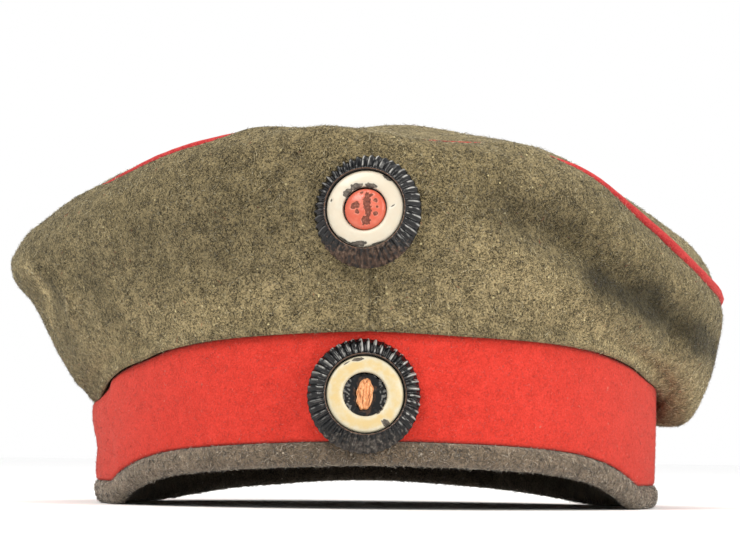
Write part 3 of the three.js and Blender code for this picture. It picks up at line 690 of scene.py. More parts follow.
def fibre_field(name, points, material, shade=None):
    """A nap of bent fibres strewn over a grid of points and joined in one mesh. Each is three-sided,
    thickest at its middle, where it bends, and runs out to two tips."""
    nap = dict(zip(NAP_COLUMNS, NAPS[name]))
    count = int(nap["count"] * bpy.context.scene.field_cap.nap_density)
    rng = np.random.default_rng(nap["seed"])
    corner = points[:-1, :-1]
    area = np.linalg.norm(np.cross(points[1:, :-1] - corner, points[:-1, 1:] - corner), axis=2)
    cell = rng.choice(area.size, count, p=area.ravel() / area.sum())
    i, j = np.unravel_index(cell, area.shape)
    u, v = rng.random((2, count, 1))
    root = points[i, j] * (1 - u) * (1 - v) + points[i + 1, j] * u * (1 - v)
    root += points[i, j + 1] * (1 - u) * v + points[i + 1, j + 1] * u * v
    normal = grid_normals(points, nap["closed"])[i, j]
    centre = points.reshape(-1, 3).mean(axis=0)
    if (normal * (root - centre)).sum() < 0:
        normal = -normal
    side = np.cross(normal, rng.normal(size=(count, 3)))
    side /= np.linalg.norm(side, axis=1, keepdims=True)
    across = np.cross(side, normal)
    half = rng.uniform(*nap["long"], (count, 1)) / 2 * MM
    radius = rng.uniform(*nap["thick"], (count, 1)) / 2 * MM
    rise = np.radians(rng.uniform(*nap["lift"], (count, 1)))
    bend = np.radians(rng.normal(0, 28, (count, 1)))
    middle = root + normal * (radius * 0.6 + half * np.sin(rise) * 0.3)
    # The first tip lies in the cloth and the second stands off it, turned by the bend.
    first = middle - side * half - normal * (radius * 0.6 + half * np.sin(rise) * 0.4)
    second = middle + (side * np.cos(bend) + across * np.sin(bend)) * half * np.cos(rise)
    second = second + normal * half * np.sin(rise)
    needle = bmesh.new()
    bmesh.ops.create_circle(needle, segments=3, radius=1)
    template = np.array([v.co for v in needle.verts])
    needle.free()
    belt = (
        middle[:, None]
        + across[:, None] * radius[:, None] * template[None, :, :1]
        + normal[:, None] * radius[:, None] * template[None, :, 1:2]
    )
    spots = np.concatenate([belt, first[:, None], second[:, None]], axis=1)
    spots[..., 2] = np.maximum(spots[..., 2], FLOOR_CLEARANCE * MM)
    faces = np.array(((0, 1, 3), (1, 2, 3), (2, 0, 3), (1, 0, 4), (2, 1, 4), (0, 2, 4)))
    edges = (belt[:, 1] - belt[:, 0], belt[:, 2] - belt[:, 0])
    forward = (np.cross(*edges) * (second - middle)).sum(axis=1) > 0
    corners = np.where(forward[:, None, None], faces[None], faces[None, :, ::-1])
    corners = (corners + (np.arange(count) * 5)[:, None, None]).reshape(-1, 3)
    mesh = bpy.data.meshes.new(name)
    mesh.vertices.add(count * 5)
    mesh.vertices.foreach_set("co", spots.astype(np.float32).ravel())
    mesh.loops.add(corners.size)
    mesh.loops.foreach_set("vertex_index", corners.ravel())
    mesh.polygons.add(len(corners))
    mesh.polygons.foreach_set("loop_start", np.arange(len(corners)) * 3)
    mesh.update(calc_edges=True)
    # The fibres take the cloth's painted light and shade and random tone where they grow, as their worn
    # value.
    worn = np.zeros(count) if shade is None else shade[i, j]
    for attribute, values in (("tone", rng.random(count)), ("worn", worn)):
        layer = mesh.attributes.new(attribute, "FLOAT", "POINT")
        layer.data.foreach_set("value", np.repeat(values, 5).astype(np.float32))
    mesh.validate()
    return place_piece(mesh, material)


# ---- materials ----


def add_node(tree, kind, inputs=None, stops=None, **settings):
    """Adds a shader node with its settings, its sockets' values or links, and a ramp's colour
    stops. A node given for a socket stands for its first output in use."""
    made = tree.nodes.new("ShaderNode" + kind)
    for name, value in settings.items():
        setattr(made, name, value)
    for name, value in (inputs or {}).items():
        socket = made.inputs[name]
        if isinstance(value, bpy.types.Node):
            value = next(output for output in value.outputs if output.enabled)
        if isinstance(value, bpy.types.NodeSocket):
            tree.links.new(value, socket)
        elif socket.type == "RGBA":
            socket.default_value = (*linear(value), 1)
        else:
            socket.default_value = value
    if stops:
        ramp = made.color_ramp
        while len(ramp.elements) < len(stops):
            ramp.elements.new(0.5)
        for element, (position, colour) in zip(ramp.elements, stops):
            element.position = position
            element.color = (*linear(colour), 1)
    return made


def new_material(name):
    """An empty material, its tree and the Object coordinates."""
    material = bpy.data.materials.new(name)
    material.use_nodes = True
    tree = material.node_tree
    tree.nodes.clear()
    return material, tree, add_node(tree, "TexCoord").outputs["Object"]


def add_shader(tree, inputs):
    """The material's one Principled shader with its sockets' values or links."""
    add_node(tree, "OutputMaterial", {"Surface": add_node(tree, "BsdfPrincipled", inputs)})


def attribute(tree, name):
    return add_node(tree, "Attribute", attribute_name=name).outputs["Fac"]


def nap_with_painted_shade(tree, colour):
    """A colour made darker by painted shade and paler by painted light, as the worn attribute says; on
    the crown that attribute holds painted light and shade and random tone.
    """
    gain = {"Value": attribute(tree, "worn"), 1: -1.0, 2: 1.0, 3: PAINTED_SHADE_GAIN, 4: PAINTED_LIGHT_GAIN}
    gain = add_node(tree, "MapRange", gain)
    mix = {0: 1.0, 6: colour, 7: gain}
    return add_node(tree, "Mix", mix, data_type="RGBA", blend_type="MULTIPLY")


def felted_wool(name, dark, middle, light, patch, sheen, sheen_tint, contrast, flecks):
    """Milled woollen cloth, its weave hidden under a matted nap: short light and dark fibres lie
    every way, so it looks speckled close up, soft and dull, and pale where it turns away."""
    material, tree, place = new_material(name)
    # Fibres half a millimetre apart, drawn as matted strands.
    strands = {"Vector": place, "Scale": 1 / (0.5 * MM), "Detail": 3.0, "Roughness": 0.7}
    strands = add_node(tree, "TexNoise", {**strands, "Distortion": 1.2})
    # Matted tufts a few millimetres wide.
    tufts = {"Vector": place, "Scale": 1 / (3.6 * MM), "Detail": 3.0, "Roughness": 0.65}
    tufts = add_node(tree, "TexNoise", tufts)
    # Broad patches where the dye took unevenly.
    dye = add_node(tree, "TexNoise", {"Vector": place, "Scale": 1 / (28 * MM), "Detail": 2.0})
    mix = add_node(tree, "Mix", {0: 0.24, 2: strands, 3: tufts}, data_type="FLOAT")
    half = contrast / 2
    stops = ((0.5 - half, dark), (0.5, middle), (0.5 + half, light))
    colour = add_node(tree, "ValToRGB", {"Fac": mix}, stops)
    # Curled single fibres of the cloth, a tenth of a millimetre thick, catch more light.
    curls = {"Vector": place, "Scale": 1 / (1.15 * MM), "Detail": 1.0, "Distortion": 2.5}
    curls = add_node(tree, "TexNoise", curls)
    level = add_node(tree, "Math", {0: curls, 1: 0.5}, operation="SUBTRACT")
    away = add_node(tree, "Math", {0: level}, operation="ABSOLUTE")
    curl = add_node(tree, "MapRange", {"Value": away, 1: 0.012, 2: 0.04, 3: 0.8, 4: 0.0})
    colour = add_node(tree, "Mix", {0: curl, 6: colour, 7: light}, data_type="RGBA")
    share = add_node(tree, "MapRange", {"Value": dye, 1: 0.35, 2: 0.7, 3: 0.0, 4: 0.45})
    dyed = {0: share, 6: colour, 7: patch}
    dyed = add_node(tree, "Mix", dyed, data_type="RGBA", blend_type="MULTIPLY")
    # Single bright fibres of other wool.
    cells = {"Vector": place, "Scale": 1 / (1.5 * MM), "Randomness": 1.0}
    cells = add_node(tree, "TexVoronoi", cells, feature="F1")
    near = add_node(tree, "Math", {0: cells.outputs["Distance"], 1: 0.2}, operation="LESS_THAN")
    apart = add_node(tree, "SeparateColor", {"Color": cells.outputs["Color"]})
    rare = {0: apart.outputs["Red"], 1: flecks[0]}
    rare = add_node(tree, "Math", rare, operation="LESS_THAN")
    both = add_node(tree, "Math", {0: near, 1: rare}, operation="MULTIPLY")
    stops = ((0.0, flecks[1]), (0.5, flecks[2]), (1.0, flecks[1]))
    fleck = add_node(tree, "ValToRGB", {"Fac": apart.outputs["Green"]}, stops)
    flecked = add_node(tree, "Mix", {0: both, 6: dyed, 7: fleck}, data_type="RGBA")
    bump = add_node(tree, "Bump", {"Strength": 0.9, "Distance": 0.35 * MM, "Height": mix})
    add_shader(
        tree,
        {
            "Base Color": nap_with_painted_shade(tree, flecked),
            "Normal": bump,
            "Roughness": 0.95,
            "Specular IOR Level": 0.05,
            "Sheen Weight": sheen,
            "Sheen Roughness": 0.55,
            "Sheen Tint": sheen_tint,
        },
    )
    return material


def loose_fibre(name, stops, sheen):
    """Single wool fibres that stand off the cloth: matt, thin, each of one shade."""
    material, tree, _ = new_material(name)
    colour = add_node(tree, "ValToRGB", {"Fac": attribute(tree, "tone")}, stops)
    colour.color_ramp.interpolation = "CONSTANT"
    shine = {"Roughness": 0.8, "Specular IOR Level": 0.25, "Sheen Weight": sheen}
    add_shader(tree, {"Base Color": nap_with_painted_shade(tree, colour), **shine})
    return material


def lacquered_steel(name, wear_height, worn_tones):
    """Thin pressed steel dipped in black lacquer: hard bright glints and painted pale-grey highlights
    on its flute crests, worn to brown metal on its lip and to a dull gritty grey-brown low down."""
    material, tree, place = new_material(name)
    height = add_node(tree, "SeparateXYZ", {"Vector": place}).outputs["Z"]
    lip = attribute(tree, "worn")
    grime = {"Vector": place, "Scale": 1 / (1.1 * MM), "Detail": 5.0, "Roughness": 0.75}
    grime = add_node(tree, "TexNoise", grime)
    low = {"Value": height, 1: wear_height, 2: wear_height - 8 * MM, 3: -0.2, 4: 0.2}
    low = add_node(tree, "MapRange", low)
    worn = add_node(tree, "Math", {0: grime, 1: low}, operation="ADD")
    sharp = add_node(tree, "MapRange", {"Value": worn, 1: 0.56, 2: 0.7, 3: 0.0, 4: 0.85})
    rust = add_node(tree, "ValToRGB", {"Fac": grime}, tuple(zip((0.4, 0.54, 0.7), worn_tones)))
    colour = {0: sharp, 6: "090a0c", 7: rust}
    colour = add_node(tree, "Mix", colour, data_type="RGBA")
    wear_and_glint = add_node(tree, "Math", {0: grime, 1: lip, 2: 0.12}, operation="MULTIPLY_ADD")
    wear_and_glint = add_node(tree, "Math", {0: wear_and_glint, 1: lip}, operation="MULTIPLY")
    brown = add_node(tree, "MapRange", {"Value": wear_and_glint, 1: 0.3, 2: 0.55, 3: 0.0, 4: 1.0})
    colour = {0: brown, 6: colour, 7: "5e4330"}
    colour = add_node(tree, "Mix", colour, data_type="RGBA")
    # Painted highlights: below nought the attribute paints the flute crests pale grey, as it does the grit
    # specks on the floor.
    crest = add_node(tree, "MapRange", {"Value": lip, 1: -0.12, 2: -0.7, 3: 0.0, 4: 0.95})
    colour = {0: crest, 6: colour, 7: "9a9995"}
    colour = add_node(tree, "Mix", colour, data_type="RGBA")
    rough = add_node(tree, "MapRange", {"Value": worn, 1: 0.42, 2: 0.72, 3: 0.13, 4: 0.8})
    bump = add_node(tree, "Bump", {"Strength": 0.4, "Distance": 0.1 * MM, "Height": grime})
    looks = {"Base Color": colour, "Roughness": rough, "Normal": bump}
    add_shader(tree, {**looks, "Specular IOR Level": 0.3})
    return material


def chipped_enamel(name, paint, stain, bare_tones, rough_base):
    """Brushed-on enamel paint: glossy and a little lumpy, stained cream, and chipped down to dark
    rusted steel where the worn attribute is high."""
    material, tree, place = new_material(name)
    worn = attribute(tree, "worn")
    lumps = {"Vector": place, "Scale": 1 / (2.6 * MM), "Detail": 4.0, "Roughness": 0.6}
    lumps = add_node(tree, "TexNoise", lumps)
    grit = {"Vector": place, "Scale": 1 / (0.7 * MM), "Detail": 4.0, "Roughness": 0.75}
    grit = add_node(tree, "TexNoise", grit)
    # The paint is paler along the ring's edges and where its lumps stand high, and stained elsewhere.
    thick = add_node(tree, "Math", {0: worn, 1: 1.5, 2: lumps}, operation="MULTIPLY_ADD")
    painted = add_node(tree, "ValToRGB", {"Fac": thick}, ((0.48, stain), (0.8, paint)))
    bare = add_node(tree, "ValToRGB", {"Fac": grit}, tuple(zip((0.36, 0.52, 0.68), bare_tones)))
    ragged = add_node(tree, "Math", {0: grit, 1: 0.5, 2: -0.25}, operation="MULTIPLY_ADD")
    edge = add_node(tree, "Math", {0: worn, 1: ragged}, operation="ADD")
    share = add_node(tree, "MapRange", {"Value": edge, 1: 0.42, 2: 0.55, 3: 0.0, 4: 0.94})
    colour = add_node(tree, "Mix", {0: share, 6: painted, 7: bare}, data_type="RGBA")
    rough = add_node(tree, "MapRange", {"Value": share, 1: 0.0, 2: 1.0, 3: rough_base, 4: 0.8})
    height = add_node(tree, "Math", {0: lumps, 1: grit}, operation="ADD")
    bump = add_node(tree, "Bump", {"Strength": 0.25, "Distance": 0.15 * MM, "Height": height})
    looks = {"Base Color": colour, "Roughness": rough, "Normal": bump}
    add_shader(tree, {**looks, "Specular IOR Level": 0.45})
    return material


def split_fibreboard(name):
    """Pressed vulcanised fibre, split along its grain: dull orange-brown with dark upright cracks."""
    material, tree, place = new_material(name)
    drawn_out = add_node(tree, "Mapping", {"Vector": place, "Scale": (1.0, 1.0, 0.16)})
    grain = {"Vector": drawn_out, "Scale": 1 / (0.55 * MM), "Detail": 4.0, "Roughness": 0.7}
    grain = add_node(tree, "TexNoise", grain)
    stops = (0.32, "4a2a1a"), (0.48, "c07a48"), (0.68, "e8b88a")
    colour = add_node(tree, "ValToRGB", {"Fac": grain}, stops)
    bump = add_node(tree, "Bump", {"Strength": 0.7, "Distance": 0.3 * MM, "Height": grain})
    add_shader(tree, {"Base Color": colour, "Normal": bump, "Roughness": 0.8})
    return material


def plain_paper(name, colour):
    """Smooth matt studio paper, one pale tone."""
    material, tree, _ = new_material(name)
    add_shader(tree, {"Base Color": colour, "Roughness": 0.9, "Specular IOR Level": 0.1})
    return material


# ---- cockades ----


def cockade_frame(which):
    """The cockade's own frame: +Z out of its front, +Y up, with its foot on the cloth."""
    kind = COCKADES[which]
    turn = Matrix.Rotation(math.radians(90 - kind["tilt_up"]), 4, "X")
    turn = turn @ Matrix.Rotation(math.radians(-kind["turn_right"]), 4, "Y")
    low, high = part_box(which + "_cockade_ring")
    middle_height = (SHELL_FLOOR + (GAP + RING_TOP) / 2) * MM
    foot = (low + high) / 2 - turn.to_3x3() @ Vector((0, 0, middle_height))
    return Matrix.Translation(foot) @ turn


def pin_depth(which):
    """How far behind the cockade's foot its pin reaches, from the solid."""
    into = cockade_frame(which).inverted()
    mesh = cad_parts[which + "_cockade_shell"].data
    return -min((into @ v.co).z for v in mesh.vertices) / MM


def mark_cover(marks, x, y, seed):
    """How worn the paint is at x and y in mm: 1 inside a mark, falling to 0 over its ragged edge."""
    cover = np.zeros(x.shape)
    jitter = np.array(
        [noise.noise(Vector((a * 1.3, b * 1.3, seed))) + 0.5 * noise.noise(Vector((a * 3, b * 3, seed)))
         for a, b in zip(x.ravel(), y.ravel())]
    ).reshape(x.shape)
    for mark in rows_of(MARK_COLUMNS, marks):
        angle = math.radians(mark["turn"])
        dx, dy = x - mark["x"], y - mark["y"]
        along = (dx * math.cos(angle) + dy * math.sin(angle)) / mark["wide"]
        over = (dy * math.cos(angle) - dx * math.sin(angle)) / mark["high"]
        inside = 1.0 - np.hypot(along, over) + 0.45 * jitter
        cover = np.maximum(cover, np.clip(inside * 3.0 * min(mark["wide"], mark["high"]) + 0.5, 0, 1))
    return cover


def polar_points(profile, steps):
    """Rows of (radius, height) turned about +Z: angles (steps + 1) by rows, with x and y."""
    turn = np.linspace(0, 2 * np.pi, steps + 1)
    radius = np.array([p[0] for p in profile])[None, :]
    height = np.array([p[1] for p in profile])[None, :]
    x, y = radius * np.cos(turn)[:, None], radius * np.sin(turn)[:, None]
    return turn, x, y, np.broadcast_to(height, x.shape).copy()


def dense_profile(corners, rows):
    """A smooth profile through (radius, height) corners, with evenly spaced rows."""
    path = smooth_path(np.array(corners, float)[None])
    return spaced(path, np.linspace(0, 1, rows + 1)[None])[0]


def cockade_shape(which, x, y, z, worn=None):
    """A closed turned shape in the cockade's frame, as a bmesh in the row frame."""
    local = spots_of(x, y, z)
    shape = sheet_shape(local, worn)
    bmesh.ops.recalc_face_normals(shape, faces=shape.faces)
    shape.transform(cockade_frame(which))
    return shape


def shell_shape(which):
    """The stamped shell: round flutes on its flank, a thin raised lip and a flat floor. Its foot has
    slipped a little under its dish."""
    kind = COCKADES[which]
    r = kind["radius"]
    corners = (
        (0.0, 0.0),
        (r - 2.0, 0.0),
        (r - 0.7, 0.05),
        (r - 0.15, 0.3),
        (r - 0.02, 0.8),
        (r - 0.55, 1.7),
        (r - 1.6, 2.6),
        (RING_RADIUS + 1.1, SHELL_CREST - 0.25),
        (RING_RADIUS + 0.65, SHELL_CREST),
        (RING_RADIUS + 0.35, SHELL_CREST - 0.1),
        (RING_RADIUS + 0.22, SHELL_CREST - 0.6),
        (RING_RADIUS + 0.2, SHELL_FLOOR + 0.4),
        (RING_RADIUS - 0.2, SHELL_FLOOR),
        (4.0, SHELL_FLOOR),
        (0.0, SHELL_FLOOR),
    )
    profile = dense_profile(corners, 72)
    turn, x, y, z = polar_points(profile, kind["flutes"] * FLUTE_STEPS)
    radius = profile[:, 0][None, :]
    flank = np.clip((radius - RING_RADIUS - 0.72) / 0.5, 0, 1) * (z > 0.02)
    lip = np.clip(1.25 - np.abs(radius - RING_RADIUS - 0.5) / 0.3, 0, 1) * (z > 2.8)
    uneven = np.array([noise.noise(Vector((math.cos(t) * 2, math.sin(t) * 2, r))) for t in turn])
    wave = 0.5 - 0.5 * np.cos(turn * kind["flutes"] + 0.8 * uneven)
    deep = (wave**1.2)[:, None] * flank * (0.5 + 0.2 * uneven[:, None])
    scale = (radius - deep * np.clip(z / 1.2, 0.4, 1)) / np.maximum(radius, 1e-6)
    x, y = x * scale, y * scale
    z = z - 0.9 * deep * (z > 0.6)
    floor = (radius < RING_RADIUS - 0.4) * (z > 0.5)
    rough = ripple(spots_of(x, y, z), 1.2, 5.0) * (0.07 + 0.12 * floor)
    z = z + rough * (z > 0.02)
    oval = np.hypot(x / 2.9, y / 4.9)
    lip = lip + floor * np.clip(2.2 - 1.5 * oval + rough * 3.0, 0, 0.75)
    # Below nought the attribute marks painted highlights along the flute crests and on one flank of
    #     each flute, fading low down and towards the lower left, and grey grit specks on the floor.
    spots = spots_of(x, y, z)
    between = np.clip(1 - np.abs(wave - 0.5) / 0.22, 0, 1) * (np.sin(turn * kind["flutes"]) > 0)
    bright = (1 - wave) ** 8 + FLUTE_GLINT[which][1] * between
    wear_and_glint = bright[:, None] * flank * np.clip(0.55 + ripple(spots, 1.3, 8.1) * 2.2, 0, 1)
    wear_and_glint = wear_and_glint * np.clip((y + 11) / 5, 0.3, 1) * np.clip(0.8 + (x + y) / 34, 0.4, 1)
    wear_and_glint = wear_and_glint * FLUTE_GLINT[which][0]
    wear_and_glint = wear_and_glint + floor * np.clip(ripple(spots, 0.7, 2.6) * 1.6 + 0.12, 0, 0.4)
    lip = np.where(lip > 0.05, lip, -wear_and_glint)
    slip = np.clip(1 - z / SHELL_FLOOR / 2, 0, 1) * (radius > 6)
    y = y * (1 + (SHELL_STRETCH[which] - 1) * np.clip((radius - RING_RADIUS - 0.8) / 2.5, 0, 1))
    x = x + SHELL_SLIP[which][0] * slip
    y = y + SHELL_SLIP[which][1] * slip
    shape = cockade_shape(which, x, y, z, np.broadcast_to(lip, x.shape))
    behind = pin_depth(which)
    seat = cockade_frame(which)
    shank_top = SHELL_FLOOR / 2
    shank = seat @ Matrix.Translation(Vector((0, 0, (shank_top - behind) / 2)) * MM)
    bmesh.ops.create_cone(
        shape,
        cap_ends=True,
        segments=16,
        radius1=SHANK_RADIUS * MM,
        radius2=SHANK_RADIUS * MM,
        depth=(shank_top + behind) * MM,
        matrix=shank,
    )
    bar = seat @ Matrix.Translation(Vector((0, 0, PIN_BAR[2] / 2 - behind)) * MM)
    bmesh.ops.create_cube(shape, size=MM, matrix=bar @ Matrix.Diagonal((*PIN_BAR, 1)))
    return shape


def ring_shape(which, marks):
    """The painted ring: a shallow rounded moulding, with its chips pressed in."""
    hole = COCKADES[which]["hole_radius"] + 0.1
    base, top = SHELL_FLOOR + GAP, SHELL_FLOOR + RING_TOP
    outer = RING_RADIUS
    corners = (
        (hole + 0.3, base),
        (outer - 0.3, base),
        (outer, base + 0.3),
        (outer - 0.05, top - 0.75),
        (outer - 0.4, top - 0.35),
        (outer - 1.4, top - 0.1),
        ((outer + hole) / 2, top),
        (hole + 1.0, top + 0.02),
        (hole + 0.25, top - 0.15),
        (hole, top - 0.6),
        (hole, base + 0.3),
    )
    path = smooth_path(np.array(corners, float)[None], closed=True)
    profile = spaced(path, np.linspace(0, 1, 41)[None])[0]
    _, x, y, z = polar_points(profile, 240)
    raised = np.clip((z - base - 0.4) / 0.6, 0, 1)
    worn = mark_cover(marks, x, y, 2.5 if which == "upper" else 8.5) * raised
    radius = profile[:, 0][None, :]
    brim = bell(radius - outer, 1.3) + bell(radius - hole, 1.0)
    worn = np.maximum(worn, PALE_EDGE[which] * brim)
    lumps = ripple(spots_of(x, y, z), 3.4, 2.0) * 0.09
    z = z + raised * lumps - np.clip(worn * 1.6 - 0.4, 0, 1) * 0.26
    return cockade_shape(which, x, y, z, worn)


def boss_shape():
    """The red domed boss, with its worn strokes and chips."""
    r = COCKADES["upper"]["hole_radius"] - GAP
    base, top = SHELL_FLOOR + GAP, SHELL_FLOOR + BOSS_TOP
    corners = (
        (0.0, base),
        (r - 0.4, base),
        (r, base + 0.3),
        (r - 0.05, top - 1.25),
        (r - 0.55, top - 0.65),
        (r * 0.6, top - 0.2),
        (r * 0.25, top - 0.03),
        (0.0, top),
    )
    profile = dense_profile(corners, 56)
    _, x, y, z = polar_points(profile, 200)
    raised = np.clip((z - base - 0.5) / 0.6, 0, 1)
    slot = mark_cover(BOSS_SLOT, x, y, 4.5) * raised
    chips = mark_cover(BOSS_MARKS, x, y, 6.5) * raised
    worn = np.maximum(slot, chips)
    z = z - np.clip(slot * 1.5 - 0.3, 0, 1) * 0.5 - np.clip(chips * 1.6 - 0.4, 0, 1) * 0.25
    z = z + ripple(spots_of(x, y, z), 2.6, 4.0) * 0.08 * raised
    return cockade_shape("upper", x + BOSS_SHIFT[0], y + BOSS_SHIFT[1], z, worn)


def plug_shape():
    """The worn oval plug of fibre, leaning a little, split and uneven on top."""
    base = SHELL_FLOOR + GAP
    corners = (
        (0.0, base), (1.9, base), (2.2, base + 0.3), (2.15, base + 0.9), (1.8, base + 1.5),
        (1.1, base + 1.85), (0.0, base + 2.0),
    )
    profile = dense_profile(corners, 40)
    _, x, y, z = polar_points(profile, 120)
    y = y * 1.9
    raised = np.clip((z - base - 0.1) / 0.8, 0, 1)
    strands = ripple(spots_of(x * 2.6, y * 0.45, z * 0), 1.0, 3.0)
    strands += 0.6 * ripple(spots_of(x * 6.0, y * 1.1, z * 0), 1.0, 8.0)
    z = z + strands * 0.42 * raised
    edge = 1 + 0.16 * ripple(spots_of(x, y, z * 0), 1.5, 7.0)
    x, y = x * edge, y * edge
    x = x + y * math.tan(math.radians(PLUG_LEAN))
    return cockade_shape("lower", x, y, z)


# ---- settings ----


class FieldCapSettings(bpy.types.PropertyGroup):
    """Sizes and colours of the dressed cap."""

    cloth_thickness: bpy.props.FloatProperty(
        name="Crown Cloth",
        description="Thickness of the crown's milled wool, in millimetres",
        default=2.0,
        min=1.0,
        max=3.0,
    )
    band_thickness: bpy.props.FloatProperty(
        name="Red Felt",
        description="Thickness of the red band, in millimetres",
        default=1.5,
        min=1.0,
        max=1.6,
    )
    cloth_rumple: bpy.props.FloatProperty(
        name="Rumple",
        description="Height of the crown's small waves, in millimetres",
        default=0.9,
        min=0.0,
        max=2.0,
    )
    hem_swell: bpy.props.FloatProperty(
        name="Hem",
        description="How far the turned-in hem stands out over the band, in millimetres",
        default=0.7,
        min=0.0,
        max=1.5,
    )
    nap_density: bpy.props.FloatProperty(
        name="Nap",
        description="Share of the full number of loose fibres",
        default=1.0,
        min=0.02,
        max=1.0,
        subtype="FACTOR",
    )
    felt_colour: bpy.props.FloatVectorProperty(
        name="Field Grey",
        description="Middle tone of the crown's cloth",
        subtype="COLOR",
        default=from_hex("574e39"),
        min=0.0,
        max=1.0,
    )
    red_colour: bpy.props.FloatVectorProperty(
        name="Red",
        description="Middle tone of the band's red felt",
        subtype="COLOR",
        default=from_hex("b42d22"),
        min=0.0,
        max=1.0,
    )
    base_colour: bpy.props.FloatVectorProperty(
        name="Base Grey",
        description="Middle tone of the base band's cloth",
        subtype="COLOR",
        default=from_hex("50463a"),
        min=0.0,
        max=1.0,
    )


class StudioSettings(bpy.types.PropertyGroup):
    """Camera and lamps round the cap."""

    distance: bpy.props.FloatProperty(
        name="Distance", description="From the cap's middle to the camera", default=1.1, unit="LENGTH"
    )
    height: bpy.props.FloatProperty(
        name="Height", description="Of the camera over the floor", default=0.015, unit="LENGTH"
    )
    aim_height: bpy.props.FloatProperty(
        name="Aim",
        description="Height over the floor of the place that the camera looks at",
        default=0.066,
        unit="LENGTH",
    )
    lens: bpy.props.FloatProperty(
        name="Lens",
        description="Focal length on a 36 mm sensor, in millimetres",
        default=183.55,
        min=20.0,
    )
    roll: bpy.props.FloatProperty(
        name="Roll",
        description="Turn of the camera about its own axis",
        default=math.radians(0.6),
        subtype="ANGLE",
    )


# ---- operators ----


class FIELDCAP_OT_crown_walls(bpy.types.Operator):
    """Lays the two halves of the crown's side wall and their nap"""

    bl_idname = "fieldcap.crown_walls"
    bl_label = "Crown Walls"

    def execute(self, context):
        settings = context.scene.field_cap
        felt, nap = crown_cloth()
        halves = (
            ("crown_wall_right", BACK_SEAM - 360 + SEAM_HALF_GAP, FRONT_SEAM - SEAM_HALF_GAP),
            ("crown_wall_left", FRONT_SEAM + SEAM_HALF_GAP, BACK_SEAM - SEAM_HALF_GAP),
        )
        for node, start, end in halves:
            bearings = np.linspace(start, end, WALL_GRID[0])
            points, thick, shade = wall_face(bearings, WALL_GRID[1])
            shape = sheet_shape(points, shade, thick)
            turn_out(shape, 70)
            wall = settings.cloth_thickness
            piece = finish_piece(shape, node + "_cloth", felt, node, wall, True)
            fibres = fibre_field(node + "_nap", points, nap, shade)
        return {"FINISHED"}


class FIELDCAP_OT_crown_top(bpy.types.Operator):
    """Lays the domed top panel and its nap"""

    bl_idname = "fieldcap.crown_top"
    bl_label = "Crown Top"

    def execute(self, context):
        settings = context.scene.field_cap
        felt, nap = crown_cloth()
        points = top_face(*full_turn(TOP_GRID))
        shade = ripple(points, 22, 12.5) * 0.2 + ripple(points, 8, 15.5) * 0.16
        shape = sheet_shape(points, shade)
        turn_out(shape, 40)
        wall = settings.cloth_thickness
        piece = finish_piece(shape, "crown_top_cloth", felt, "crown_top", wall)
        fibres = fibre_field("crown_top_nap", points, nap, shade)
        return {"FINISHED"}


class FIELDCAP_OT_crown_cord(bpy.types.Operator):
    """Runs the red cord round the crown's edge"""

    bl_idname = "fieldcap.crown_cord"
    bl_label = "Crown Cord"

    def execute(self, context):
        skin = felted_wool(
            "red woollen cord covering",
            "7a181c",
            "a9282e",
            "c04a48",
            "c8b8b0",
            0.25,
            "ff9c90",
            0.3,
            (0.04, "e89080", "7a1c20"),
        )
        points = cord_face(*full_turn(CORD_GRID))
        shape = sheet_shape(points)
        bmesh.ops.recalc_face_normals(shape, faces=shape.faces)
        piece = finish_piece(shape, "crown_cord", skin, "crown_piping")
        return {"FINISHED"}


class FIELDCAP_OT_red_band(bpy.types.Operator):
    """Lays the red felt band and its fine nap"""

    bl_idname = "fieldcap.red_band"
    bl_label = "Red Band"

    def execute(self, context):
        settings = context.scene.field_cap
        felt = felted_wool(
            "fine red milled felt",
            *tones(settings.red_colour, (0.7, 1, 1.22), 0.01),
            "f0e2e0",
            0.24,
            "ffb0a4",
            0.22,
            (0.04, "c06a5c", "7c1c1a"),
        )
        nap = loose_fibre(
            "red wool fibres", ((0.0, "9c2a22"), (0.4, "bc3c30"), (0.85, "cc5a4a"), (0.98, "d08070")), 0.2
        )
        points = red_face(*full_turn(RED_GRID))
        shape = sheet_shape(points)
        turn_out(shape, 25)
        wall = settings.band_thickness
        piece = finish_piece(shape, "red_band_felt", felt, "red_band", wall)
        fibres = fibre_field("red_band_nap", points, nap)
        return {"FINISHED"}


class FIELDCAP_OT_base_band(bpy.types.Operator):
    """Lays the grey base band with its rolled lower edge and nap"""

    bl_idname = "fieldcap.base_band"
    bl_label = "Base Band"

    def execute(self, context):
        felt = felted_wool(
            "brown-grey milled woollen cloth",
            *tones(context.scene.field_cap.base_colour, (0.16, 0.9, 2.6)),
            "d8d0c8",
            0.5,
            "e8dccb",
            0.18,
            (0.1, "b9ad98", "4a4a52"),
        )
        nap = loose_fibre(
            "brown-grey wool fibres",
            ((0.0, "2a251f"), (0.28, "584e42"), (0.58, "867a6a"), (0.82, "bcb09e")),
            0.3,
        )
        points = base_face(*full_turn(BASE_GRID))
        shape = sheet_shape(points)
        bmesh.ops.recalc_face_normals(shape, faces=shape.faces)
        piece = finish_piece(shape, "base_band_cloth", felt, "base_band")
        rolled = points[:, :ROLLED_COLUMNS]
        fibres = fibre_field("base_band_nap", rolled, nap)
        return {"FINISHED"}


# Rusted steel under the enamel, from dark to pale.
BARE_STEEL = ("1c1917", "3d352f", "6f675c")


def dress_cockade(*pieces):
    """Finishes pieces of a cockade: each stands for the node of its name less the middle words."""
    for name, shape, material, slot in pieces:
        words = name.split("_")
        finish_piece(shape, name, material, "_".join(words[:2] + words[-1:]))


